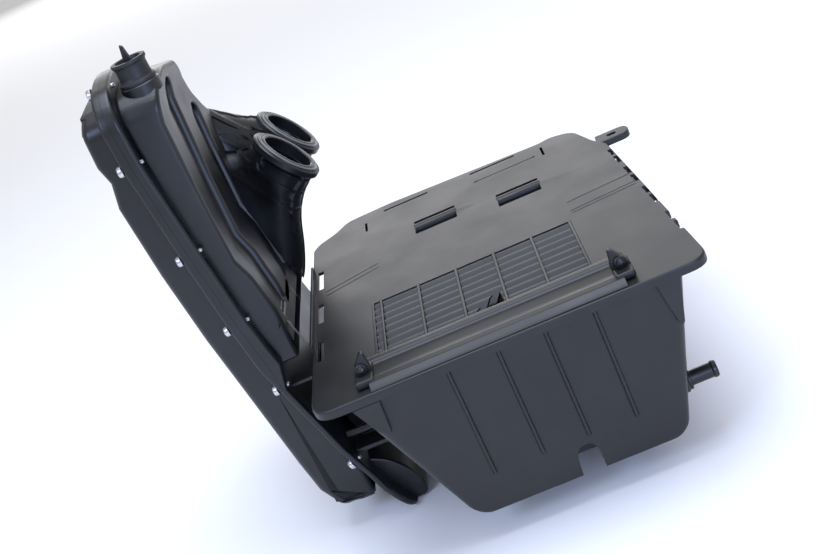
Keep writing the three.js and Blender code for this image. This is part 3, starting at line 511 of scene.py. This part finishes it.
def make_tub():
    """Deep tub with tapered walls, rounded floor edges, front ribs, gussets and a notch for a bracket."""
    tub = loft("air_box_tub_moulded", tub_rings(0, TUB_TOP, TUB_FLOOR))
    rim = loft("rim", [tub_ring(-54, 312, 284, -70, 402, 16, z, 2) for z in (-8.3, TUB_TOP)])
    weld(tub, soften(rim, 0.8, 2, 50))
    for x in (57.6, 111.5, 161.6, 213.8):
        rib = loft("rib", [
            [(x - 2.6, -70, z), (x - 1.2, -73, z), (x + 1.2, -73, z), (x + 2.6, -70, z), (x, -66, z)]
            for z in (-141, -9)
        ])
        weld(tub, soften(rib, 1.1, 3, 20))
    left = prism_y("gusset", [(-46, -10.6), (-16, -10.6), (-19, -52, 4), (-31, -44, 4)], -75.5, -66)
    right = prism_y("gusset", [(278, -10.6), (304, -10.6), (292, -60, 4), (287, -60, 4)], -75.5, -66)
    weld(tub, soften(left, 1.2, 2), soften(right, 1.2, 2))
    weld(tub, bar("boss", (256, SPIGOT_Y, SPIGOT_Z), (276, SPIGOT_Y, SPIGOT_Z), 13, 1.5))
    hollow = loft("hollow", tub_rings(-WALL, TUB_TOP + 1, TUB_FLOOR + WALL))
    wall = prism_y("notch_wall", [(135, -192), (169, -192), (169, -146, 6), (138, -146, 6)], -90, -21)
    cut(hollow, wall)
    cut(tub, hollow)
    edge = [(139, -192), (165, -192), (165, -160, 8), (160, -150, 9), (146, -150, 9), (140, -166, 6)]
    cut(tub, soften(prism_y("notch", edge, -90, -24), 1.0, 2, 60))
    cut(tub, bar("spigot_hole", (230, SPIGOT_Y, SPIGOT_Z), (300, SPIGOT_Y, SPIGOT_Z), 8.5))
    cut(tub, prism_y("duct_way", DUCT_WAY, *DUCT_SPAN))
    ledge = prism_z("ledge", [(-38, -69, 15), (305, -69, 15), (277, 401, 15), (-38, 401, 15)], -66, -62)
    cut(ledge, prism_z("ledge_way", [(-25, -56, 4), (292, -56, 4), (264, 388, 4), (-25, 388, 4)], -70, -58))
    weld(tub, keep(ledge, loft("within", tub_rings(-WALL / 2, TUB_TOP + 1, TUB_FLOOR + WALL))))
    tidy(tub)
    return fit(tub, polypropylene, "satin_plastic", "housing", "air_box_tub")


def make_spigot():
    """Short hose spigot with a collar and a retaining bead, open through its middle."""
    profile = [
        (5.6, 262), (8.2, 262), (8.2, 276.4), (11.5, 276.6), (11.5, 279.3), (8.6, 280), (8.2, 281),
        (8.2, 303), (9.3, 304.5), (9.3, 306.5), (8.4, 309), (6.4, 309), (5.6, 308.2),
    ]
    spigot = turned("drain_spigot_moulded", (0, SPIGOT_Y, SPIGOT_Z), (1, 0, 0), profile)
    return fit(spigot, nylon, "black_plastic", "housing", "drain_spigot")


# ------------------------------------------------------------- the cover plate
def make_cover_plate():
    """Flat cover with a rounded edge, two pockets with a bar, narrow slots, a side lip and a fixing ear."""
    plate = prism_z("cover_plate_moulded", PLATE, -10, 0)
    take(plate)
    bpy.ops.object.mode_set(mode="EDIT")
    bpy.ops.mesh.select_mode(type="FACE")
    bpy.ops.mesh.select_all(action="DESELECT")
    bpy.ops.object.mode_set(mode="OBJECT")
    for face in plate.data.polygons:
        face.select = face.normal.z > 0.9
    bpy.ops.object.mode_set(mode="EDIT")
    bpy.ops.mesh.bevel(offset=0.0026, segments=4, affect="EDGES")
    bpy.ops.object.mode_set(mode="OBJECT")
    cut(plate, prism_z("underside", inset(PLATE, 3), -11, -4))
    ear = prism_z("ear", [(304, 330, 2), (346, 330, 14), (346, 358, 14), (304, 358, 2)], -9, -0.2)
    weld(plate, soften(ear, 1.2, 3))
    weld(plate, block("lip", (-85, -82), (72, 300), (-1, 9), 0.8))
    for x0, x1, y0, y1 in ((54, 109, 288, 329), (162, 217, 262, 303)):
        outside = [(y0 - 2, -1), (y1 + 2, -1), (y1 + 2, -15, 3), (y0 + 12, -15, 3)]
        inside = [(y0, 3), (y1, 3), (y1, -13, 2), (y0 + 14, -13, 2), (y0, -3, 2)]
        tray = prism_x("tray", outside, x0 - 2, x1 + 2)
        hollow = prism_x("hollow", inside, x0, x1)
        weld(plate, tray)
        cut(plate, soften(hollow, 1.5, 2))
        weld(plate, bar("pocket_bar", (x0 - 1, y1 - 13, -6), (x1 + 1, y1 - 13, -6), 7.6, 0.0))
        weld(plate, block("bar_foot", (x0 - 1, x1 + 1), (y1 - 15, y1 - 11), (-14, -6)))
    cut(plate, block("louvre_window", (-12, 231), (-3, 137), (-12, 3)))
    slots = [(-78.5, -71.5, y0, y1) for y0, y1 in ((240, 294), (143, 195), (45, 96))]
    slots += [(16, 79, 412, 416), (139, 202, 411, 415), (-11.5, -8.5, 367, 396), (236, 239, 371, 401)]
    for x0, x1, y0, y1 in slots:
        cut(plate, block("slot", (x0, x1), (y0, y1), (-12, 3)))
    skirt_slots = ((274, 295), (243, 267), (199, 222), (168, 191), (124, 146), (92, 117), (35, 58), (4, 28))
    for y0, y1 in skirt_slots:
        near, far = 330.5 - y0 / 15, 330.5 - y1 / 15
        slot = [(near - 2.5, y0), (near + 2.5, y0), (far + 2.5, y1), (far - 2.5, y1)]
        cut(plate, prism_z("slot", slot, -12, 3))
    ear_hole = [(318, 340, 3.8), (330, 340, 3.8), (330, 348, 3.8), (318, 348, 3.8)]
    cut(plate, prism_z("ear_hole", ear_hole, -12, 3))
    # Fine moulded line with a round dot at each end, and shallow sink lines beside the louvres.
    cut(plate, block("line", (145, 223), (377.2, 378.8), (-0.7, 3)))
    for x in (144, 224):
        cut(plate, bar("dot", (x, 378, -0.9), (x, 378, 3), 2.2))
    for y in (161, 169, 196):
        weld(plate, bar("sink_line", (236, y - 6, -1.9), (316, y + 2, -1.9), 2.3, 0.5, 20))
    for x, y in ((-68, 226), (-68, 214)):
        weld(plate, bar("sink_line", (x, y, -1.9), (x + 70, y + 22, -1.9), 2.25, 0.5, 20))
    tidy(plate)
    soften(plate, 0.45, 2, 50)
    return fit(plate, polypropylene, "satin_plastic", "cover", "cover_plate")


BLADE_PITCH, BAR_PITCH = 16.75, 45.8


def make_grille():
    """Louvred inlet: sloping blades with flat crests, crossed by thin bars, with the front blade broken."""
    frame_ring = block("inlet_grille_moulded", (-11.7, 230.7), (-2.7, 136.7), (-14, 0.5))
    cut(frame_ring, block("window", (-9, 228), (0, 134), (-20, 4)))
    soften(frame_ring, 0.5, 2)
    blades = []
    for i in range(8):
        y = -1 + BLADE_PITCH * i
        outline = [
            (y, -11.5, 0.8), (y + 2.4, -11.9, 0.8), (y + 13.6, -2.2), (y + 16.6, -2.0, 0.8),
            (y + 16.6, -0.4, 0.8), (y + 12.6, -0.4, 0.8),
        ]
        blades.append(prism_x("blade", outline, -10.5, 229.5))
    broken = prism_z("broken", [(100.8, 8.2), (134.5, 5), (131.5, 41)], -16, 4)
    for blade in blades[:3]:
        cut(blade, copy_of(broken, "broken_tool"))
    bpy.data.objects.remove(broken)
    bars = []
    for i in range(5):
        x = BAR_PITCH * i
        outline = [(x - 1.7, -13), (x + 1.7, -13), (x + 1.7, 1.6, 1.6), (x - 1.7, 1.6, 1.6)]
        bars.append(prism_y("bar", outline, -2.4, 136.4))
    grille = join("inlet_grille_moulded", [*blades, *bars, frame_ring])
    return fit(grille, polypropylene, "satin_plastic", "cover", "inlet_grille")


def make_rail():
    """Stepped rail along the front edge, with a pointed latch lug at each end."""
    profile = [
        (-6, 0.3), (-8, 6.4, 2), (-12, 8, 2), (-20, 8, 2), (-24, 4.6, 2), (-44, 3.6, 2), (-50, 4, 2),
        (-54, 6.6, 2), (-65, 6.2, 2), (-71, 2.6, 2), (-74, 0.3),
    ]
    rail = prism_x("latch_rail_moulded", profile, -20, 254)
    soften(rail, 0.8, 2, 40)
    for x, tip in ((-34, -20), (246, 248)):
        outline = [(x, 0.3), (x + 20, 0.3), (x + 20, 10, 3), (tip + 4, 30, 2), (tip, 30, 2), (x, 10, 3)]
        weld(rail, soften(prism_y("post", outline, -44, -36), 1.0, 2))
        weld(rail, block("foot", (x, x + 20), (-62, -20), (0.3, 9), 2.5))
        weld(rail, bar("collar", (x + 10, -47, LUG_PIN_Z), (x + 10, -33, LUG_PIN_Z), 6.6, 1.2))
    for x in LUG_PINS.values():
        cut(rail, bar("hole", (x, -80, LUG_PIN_Z), (x, 0, LUG_PIN_Z), 3.3))
    tidy(rail)
    return fit(rail, polypropylene, "satin_plastic", "cover", "latch_rail")


def make_lug_pin(name, x):
    """Domed moulded stud in a latch lug."""
    profile = [(0, -50.2), (2.2, -49.8), (3.8, -48.8), (4.4, -47.2), (3, -47.1), (3, -34), (0, -34)]
    pin = turned(name + "_turned", (x, 0, LUG_PIN_Z), (0, 1, 0), profile, 28)
    return fit(pin, nylon, "black_plastic", "cover", name)


# ------------------------------------------------------------------ the plenum
# Tools run past the plenum: along y from side to side, and along x from behind it.
PAST_SIDES = (0, 460)
PAST_BACK = (-240, 0)
# Radius of the flange's bullnose edge, and half of the gap between the shells.
FLANGE_ROUND, PARTING_GAP = 4.2, 0.1


def layer(name, left, right, side):
    """A slice of the clamped flange between two lines from the front, inside an outline from the side."""
    slab = prism_y(name, [*left, *reversed(right)], *PAST_SIDES)
    return keep(slab, prism_x("side", side, *PAST_BACK))


def drafted(name, x0, grow0, x1, grow1):
    """The plenum's outline from the side, carried along x with its walls leaning as moulded walls do."""
    rings = []
    for x, grow in ((x0, grow0), (x1, grow1)):
        rings.append([(x, y, z) for y, z in rounded(inset(SHELL_SIDE, -grow))])
    return loft(name, rings)


def deck_solid(name, shift, side, foot):
    """The block behind the deck's face, down to a foot and inside an outline from the side."""
    face = shifted(DECK, shift)
    face[-1] = (face[-1][0], foot)
    solid = prism_y(name, [(-150, 352), *face, (-140, foot)], *PAST_SIDES)
    return keep(solid, prism_x("side", side, *PAST_BACK))


def groove_tool(outline, grow, depth):
    """Channel cutter with a sloped near side and a steep far side."""
    left = shifted(DECK, -depth)
    tool = prism_y("groove", [*left, *reversed(shifted(DECK, 30))], *PAST_SIDES)
    (ya, foot, foot_radius), (yb, _, _), (yc, top, _), (yd, _, top_radius) = outline
    sides = [
        (ya - grow, foot - grow, foot_radius), (yb + grow, foot - grow, foot_radius),
        (yc + grow, top + grow, top_radius), (yd - grow, top + grow, top_radius),
    ]
    return keep(tool, prism_x("sides", sides, -200, 0))


def sump(name, shrink):
    """The swollen foot of the inner shell, or its hollow when shrunk."""
    outline = [
        (-92, -146), (-80 - shrink, -147 - shrink), (-64 - shrink, -155 - shrink, 10),
        (-47 - shrink, -174 - shrink, 12),
        (-36 - shrink, -200, 12), (-38 - shrink, -217 + shrink, 6), (-60, -219 + shrink, 4),
    ]
    return prism_y(name, outline, 70 + shrink, 230 - shrink)


def right_of(name, line, shift):
    """Everything in front of a flange line."""
    return prism_y(name, [(200, 380), *shifted(line, shift), (200, -222)], *PAST_SIDES)


def across(line_z):
    """Direction across the flange at a height, from its outer to its inner face."""
    run = along(FLANGE_PART, line_z + 4) - along(FLANGE_PART, line_z - 4)
    return Vector((8, 0, -run)).normalized()


def screw_spot(y, z, distance):
    """A point on a screw's axis, at a distance from the parting face."""
    spot = Vector((along(FLANGE_PART, z), y, z)) + across(z) * distance
    return tuple(spot)


def make_inner_shell():
    """Deck half of the plenum: a deck with two channels, a clamping flange with narrow slots and a sump."""
    shell = layer("plenum_inner_shell_moulded", shifted(FLANGE_PART, -9), FLANGE_FRONT, FLANGE_SIDE)
    soften(shell, FLANGE_ROUND, 4, 50)
    keep(shell, right_of("front_half", FLANGE_PART, PARTING_GAP))
    deck = deck_solid("deck", 0, SHELL_SIDE, 6)
    keep(deck, drafted("draft", -160, 4, -96, -3))
    for outline in GROOVES:
        tool = groove_tool(outline, 0, 7)
        cut(deck, soften(tool, 2.4, 3, 50))
    tidy(deck)
    soften(deck, 5.5, 5, 60)
    weld(shell, deck)
    weld(shell, soften(keep(sump("sump", 0), right_of("front_only", FLANGE_PART, 0.4)), 3, 3, 60))
    hollow = deck_solid("hollow", -7, inset(SHELL_SIDE, 5), 12)
    for outline in GROOVES:
        cut(hollow, groove_tool(outline, 6, 14))
    pan = layer("pan", shifted(FLANGE_PART, -5), shifted(FLANGE_FRONT, -3), inset(SHELL_SIDE, 5))
    cut(shell, hollow, pan)
    cut(shell, sump("sump_hollow", 3), block("sump_way", (-96, -62), (76, 224), (-186, -158)))
    for z1, z0 in ((322, 292), (270, 186), (156, 92), (66, 22)):
        x0, x1 = along(FLANGE_FRONT, z0), along(FLANGE_FRONT, z1)
        tool = prism_y("ledge_slot", [(x0 - 5, z0), (x0 + 6, z0), (x1 + 6, z1), (x1 - 5, z1)], 50.5, 56.5)
        cut(shell, soften(tool, 1.2, 2))
    for y in PORTS.values():
        clear = prism_x("clear_of_side", inset(SHELL_SIDE, 9), *PAST_BACK)
        cut(shell, keep(horn("way", y, -4, 24, 16), clear))
    cut(shell, prism_y("duct_way", DUCT_WAY, *DUCT_SPAN))
    weld(shell, bar("bush_seat", (BUSH_X, BUSH_Y, BUSH_Z - 14), (BUSH_X, BUSH_Y, BUSH_Z), 21, 1.5, 40))
    tidy(shell)
    return fit(shell, nylon, "black_plastic", "housing", "plenum_inner_shell")


def make_outer_shell():
    """Back half of the plenum: a deep rounded shell behind its clamping flange."""
    face = [(x + 22, z) for x, z in FLANGE_PART if -190 < z < 352]
    outline = [*SHELL_BACK, (-54, -191), *reversed(face), (-136, 352)]
    body = prism_y("plenum_outer_shell_moulded", outline, 30, 420)
    keep(body, drafted("draft", -200, -4, -90, 3))
    keep(body, prism_x("side", SHELL_SIDE, *PAST_BACK))
    soften(body, 9, 5, 50)
    back_half = [(-240, 400), *shifted(FLANGE_PART, -PARTING_GAP), (-240, -240)]
    keep(body, prism_y("back_half", back_half, *PAST_SIDES))
    flange = soften(layer("flange", FLANGE_BACK, shifted(FLANGE_PART, 9), FLANGE_SIDE), FLANGE_ROUND, 4, 50)
    keep(flange, prism_y("back_half", back_half, *PAST_SIDES))
    weld(body, flange)
    hollow_back = [(x + 4, max(z, -187)) for x, z in SHELL_BACK[:-1]]
    hollow = prism_y("hollow", [(-164, 345), *hollow_back[1:], (-40, -187), (-40, 345)], 30, 420)
    keep(hollow, prism_x("side", inset(SHELL_SIDE, 4), *PAST_BACK))
    cut(body, soften(hollow, 6, 3, 50))
    for y, z in SCREWS:
        seat = -(along(FLANGE_PART, z) - along(FLANGE_BACK, z)) * across(z).x
        cut(body, bar("spot_face", screw_spot(y, z, seat - 14), screw_spot(y, z, seat), 7.6, 0, 24))
        cut(body, bar("screw_way", screw_spot(y, z, -40), screw_spot(y, z, 40), 2.8, 0, 16))
    tidy(body)
    return fit(body, nylon, "black_plastic", "housing", "plenum_outer_shell")


def make_screw(number, y, z):
    """Bright pan-head screw with a six-sided socket."""
    seat = -(along(FLANGE_PART, z) - along(FLANGE_BACK, z)) * across(z).x - 0.3
    front = (along(FLANGE_FRONT, z) - along(FLANGE_PART, z)) * across(z).x
    tip = front + 3
    profile = [
        (0, seat - 6), (3.6, seat - 6), (5.6, seat - 5.2), (6.5, seat - 3.4), (6.5, seat - 0.4),
        (6.2, seat), (2.5, seat), (2.5, tip - 1), (1.7, tip), (0, tip),
    ]
    screw = turned(f"shell_screw_{number}_turned", screw_spot(y, z, 0), across(z), profile, 28)
    socket_start = Vector(screw_spot(y, z, seat - 7))
    cut(screw, bar("socket", socket_start, socket_start + across(z) * 4, 2.6, 0, 6))
    return fit(screw, zinc, "zinc_steel", "housing", f"shell_screw_{number}")


def horn_rings(y, grow, count, finer):
    """Rings of a trumpet, with its stations joined by a smooth curve."""
    rings = []
    last = len(TRUMPETS[y]) - 1
    for step in range(last * finer + 1):
        i, t = divmod(step / finer, 1)
        near = [TRUMPETS[y][max(0, min(last, int(i) + k))] for k in (-1, 0, 1, 2)]
        xt, zt, xb, zb, wide, share = (
            0.5 * (
                2 * q + (r - p) * t + (2 * p - 5 * q + 4 * r - s) * t * t + (3 * q - p - 3 * r + s) * t ** 3
            )
            for p, q, r, s in zip(*near)
        )
        top = Vector((xt, y + SWEEPS[y][0] * share, zt))
        foot = Vector((xb, y + SWEEPS[y][1] * share, zb))
        rise = (top - foot) / 2
        rise += rise.normalized() * grow
        ring = []
        for k in range(count):
            angle = 2 * math.pi * k / count
            sideways = Vector((0, math.cos(angle) * (wide + grow), 0))
            ring.append((top + foot) / 2 + rise * math.sin(angle) + sideways)
        rings.append(ring)
    return rings


def along_horn(name, y, near, far):
    """A solid that follows a trumpet's sections from a near to a far side, each a y and its two sweeps."""
    rings = []
    for xt, zt, xb, zb, _, share in TRUMPETS[y]:
        ring = []
        for t, (middle, top_sweep, foot_sweep) in ((-0.5, near), (-0.5, far), (1.5, far), (1.5, near)):
            sweep = share * (foot_sweep + (top_sweep - foot_sweep) * t)
            ring.append((xb + (xt - xb) * t, middle + sweep, zb + (zt - zb) * t))
        rings.append(ring)
    rings.insert(0, [(px - 30, py, pz) for px, py, pz in rings[0]])
    rings.append([(px + 48, py, pz + 36) for px, py, pz in rings[-1]])
    return loft(name, rings)


def horn(name, y, grow, count, reach=0):
    """The solid inside a trumpet's skin, carried on past both of its ends by reach."""
    rings = horn_rings(y, grow, count, 3 if count > 30 else 1)
    if reach:
        rings.insert(0, [(x - reach, yy, z) for x, yy, z in rings[0]])
        rings.append([(x + 0.8 * reach, yy, z + 0.6 * reach) for x, yy, z in rings[-1]])
    return loft(name, rings)


def port_spot(y, distance, across=0):
    """A point at a distance along a port's axis from its face, and at a distance up across it."""
    return (PORT_X + 0.8 * distance - 0.6 * across, y, PORT_Z + 0.6 * distance + 0.8 * across)


RIB_HALF = 1.7


def make_trumpet(name, y):
    """Flared duct from the deck to a round port, with raised ribs, three bands and a thick stepped rim."""
    body = horn(name + "_moulded", y, 0, 40)
    for offset in (-25, 2, 27):
        near, far = y + offset - RIB_HALF, y + offset + RIB_HALF
        side = along_horn("rib_slice", y, (near, *SWEEPS[y]), (far, *SWEEPS[y]))
        weld(body, keep(horn("rib", y, 2.8, 40), side))
    for near, away, grow in ((-17, -14, 2.4), (-34, -30, 2.6), (-55, -51, 2.6)):
        slab = [port_spot(y, d, s)[::2] for d, s in ((near, 110), (away, 110), (away, -110), (near, -110))]
        weld(body, keep(horn("band", y, grow, 40), prism_y("band_slice", slab, 100, 460)))
    rim = [
        (28, -12), (37, -12), (38.5, -10.5), (42.4, -10), (43.5, -8.8), (43.5, -2.6), (42.3, -1.2),
        (40.4, -0.9), (40, 0), (39.3, 0), (39.3, -2.3), (34.7, -2.3), (34.7, 0.6), (33.8, 1.4), (31.4, 1.4),
        (30, 0.2), (30, -11), (28, -11.5),
    ]
    cut(body, horn("inside", y, -3, 40, 16))
    ring = turned("rim", port_spot(y, 0), PORT_AXIS, rim, 56)
    weld(body, ring)
    if y == PORTS["front"]:
        near_side = (DIVIDE_Y - DIVIDE_GAP, *DIVIDE_SWEEP)
        keep(body, along_horn("own_side", PORTS["back"], (100, 0, 0), near_side))
    else:
        far_side = (DIVIDE_Y + DIVIDE_GAP, *DIVIDE_SWEEP)
        cut(body, along_horn("other_side", PORTS["back"], (100, 0, 0), far_side))
    cut(body, prism_y("behind_deck", [(-260, 352), *shifted(DECK, -4), (-91, -60), (-260, -60)], 0, 480))
    tidy(body)
    return fit(body, nylon, "black_plastic", "housing", name)


def make_port_seal(name, y):
    """Grey lip seal in the rim's groove."""
    profile = [(35, -2), (39, -2), (39, 0.2), (38.2, 1), (37, 0.4), (35.8, 1), (35, 0.2)]
    seal = turned(name + "_moulded", port_spot(y, 0), PORT_AXIS, profile, 56)
    return fit(seal, silicone, "grey_seal", "housing", name)


def make_bush():
    """Rubber bush with a flared collar, on top of the plenum."""
    profile = [
        (6, 0.3), (20, 0.3), (20, 3.2), (17.6, 5.4), (17, 8), (16.8, 18), (17.6, 20.6), (19, 22),
        (19, 25.3), (14, 25.3), (13, 21.3), (6, 21.3),
    ]
    bush = turned("mount_bush_moulded", (BUSH_X, BUSH_Y, BUSH_Z), (0, 0, 1), profile, 44)
    soften(bush, 0.6, 2, 40)
    return fit(bush, rubber, "black_rubber", "housing", "mount_bush")


def make_pin():
    """Upright blade that stands in the bush."""
    return fit(eased_copy("mount_pin", 1.0), nylon, "black_plastic", "housing", "mount_pin")


def make_seal():
    """Cord between the two shells."""
    return fit(eased_copy("plenum_seal", 0), rubber, "black_rubber", "housing", "plenum_seal")


def make_ties():
    """Straps, tube and duct between the plenum and the tub."""
    for name in ("upper_tie_strap", "lower_tie_strap"):
        fit(eased_copy(name, 0.8), nylon, "black_plastic", "housing", name)
    fit(eased_copy("tie_rod", 0), nylon, "black_plastic", "housing", "tie_rod")
    fit(eased_copy("clean_air_duct", 1.0), nylon, "black_plastic", "housing", "clean_air_duct")


def make_filter():
    """Pleated paper in a foam frame."""
    fit(eased_copy("filter_paper", 0.5), paper, "filter_paper", "housing", "filter_paper")
    fit(eased_copy("filter_frame", 1.5), foam, "filter_foam", "housing", "filter_frame")


make_tub()
make_spigot()
make_cover_plate()
make_grille()
make_rail()
for pin_name, pin_x in LUG_PINS.items():
    make_lug_pin(pin_name, pin_x)
make_inner_shell()
make_outer_shell()
for number, (y, z) in enumerate(SCREWS, 1):
    make_screw(number, y, z)
for end, port_y in PORTS.items():
    make_trumpet("trumpet_" + end, port_y)
for end, port_y in PORTS.items():
    make_port_seal("port_seal_" + end, port_y)
make_bush()
make_pin()
make_seal()
make_ties()
make_filter()


# ----------------------------------------------------- floor, lights, camera
bpy.ops.object.select_all(action="DESELECT")
bpy.ops.mesh.primitive_plane_add(size=80, location=(0, 0, 0))
floor = bpy.context.object
floor.name = "studio_floor"
floor_paint, tree = new_material("painted_floor")
paint = add(tree, "BsdfPrincipled", {"Base Color": linear("#f4f4f4"), "Roughness": 0.8})
add(tree, "OutputMaterial", links={"Surface": (paint, "BSDF")})
floor.data.materials.append(floor_paint)

world = bpy.data.worlds.new("studio")
bpy.context.scene.world = world
world.use_nodes = True
world.node_tree.nodes["Background"].inputs["Color"].default_value = linear("#ffffff")
world.node_tree.nodes["Background"].inputs["Strength"].default_value = 0.6


def softbox(name, spot, aim, size, power, colour):
    """A soft rectangular lamp, aimed at a point and itself unseen."""
    data = bpy.data.lights.new(name, "AREA")
    data.shape = "RECTANGLE"
    data.size, data.size_y = size
    data.energy = power
    data.color = linear(colour)[:3]
    lamp = bpy.data.objects.new(name, data)
    bpy.context.scene.collection.objects.link(lamp)
    lamp.location = spot
    lamp.visible_camera = False
    lamp.rotation_euler = (Vector(aim) - Vector(spot)).to_track_quat("-Z", "Y").to_euler()
    return lamp


softbox("ceiling_softbox", (0.1, 0.1, 2.6), (0.1, 0.1, 0), (1.8, 1.8), 60, "#dfe8ff")
softbox("back_softbox", (-0.1, 7, 1.9), (0, 0, 0.3), (5.4, 2.4), 110, "#fbfbff")
softbox("window_softbox", (0.9, -2.4, 0.9), (-0.1, 0, 0.3), (1.1, 1.1), 34, "#a9c4ff")
softbox("side_softbox", (-1.5, -1.6, 1.7), (-0.1, 0.05, 0.35), (0.8, 0.8), 22, "#b8ceff")

# The camera is rolled, so that the object's left side comes out low.
camera_data = bpy.data.cameras.new("camera")
camera = bpy.data.objects.new("camera", camera_data)
bpy.context.scene.collection.objects.link(camera)
camera_data.sensor_width = 36.0
camera_data.lens = 58.5
camera_data.clip_end = 30
right = Vector((0.9164, -0.0630, -0.3950)).normalized()
back = Vector((0.0997, -0.9200, 0.3780))
back = (back - right * back.dot(right)).normalized()
up = back.cross(right)
turn = Matrix((right, up, back)).transposed()
camera.matrix_world = Matrix.Translation(place(196.5, -1259.9, 584.1)) @ turn.to_4x4()
bpy.context.scene.camera = camera
bpy.context.scene.view_settings.view_transform = "Standard"

bpy.context.view_layer.update()
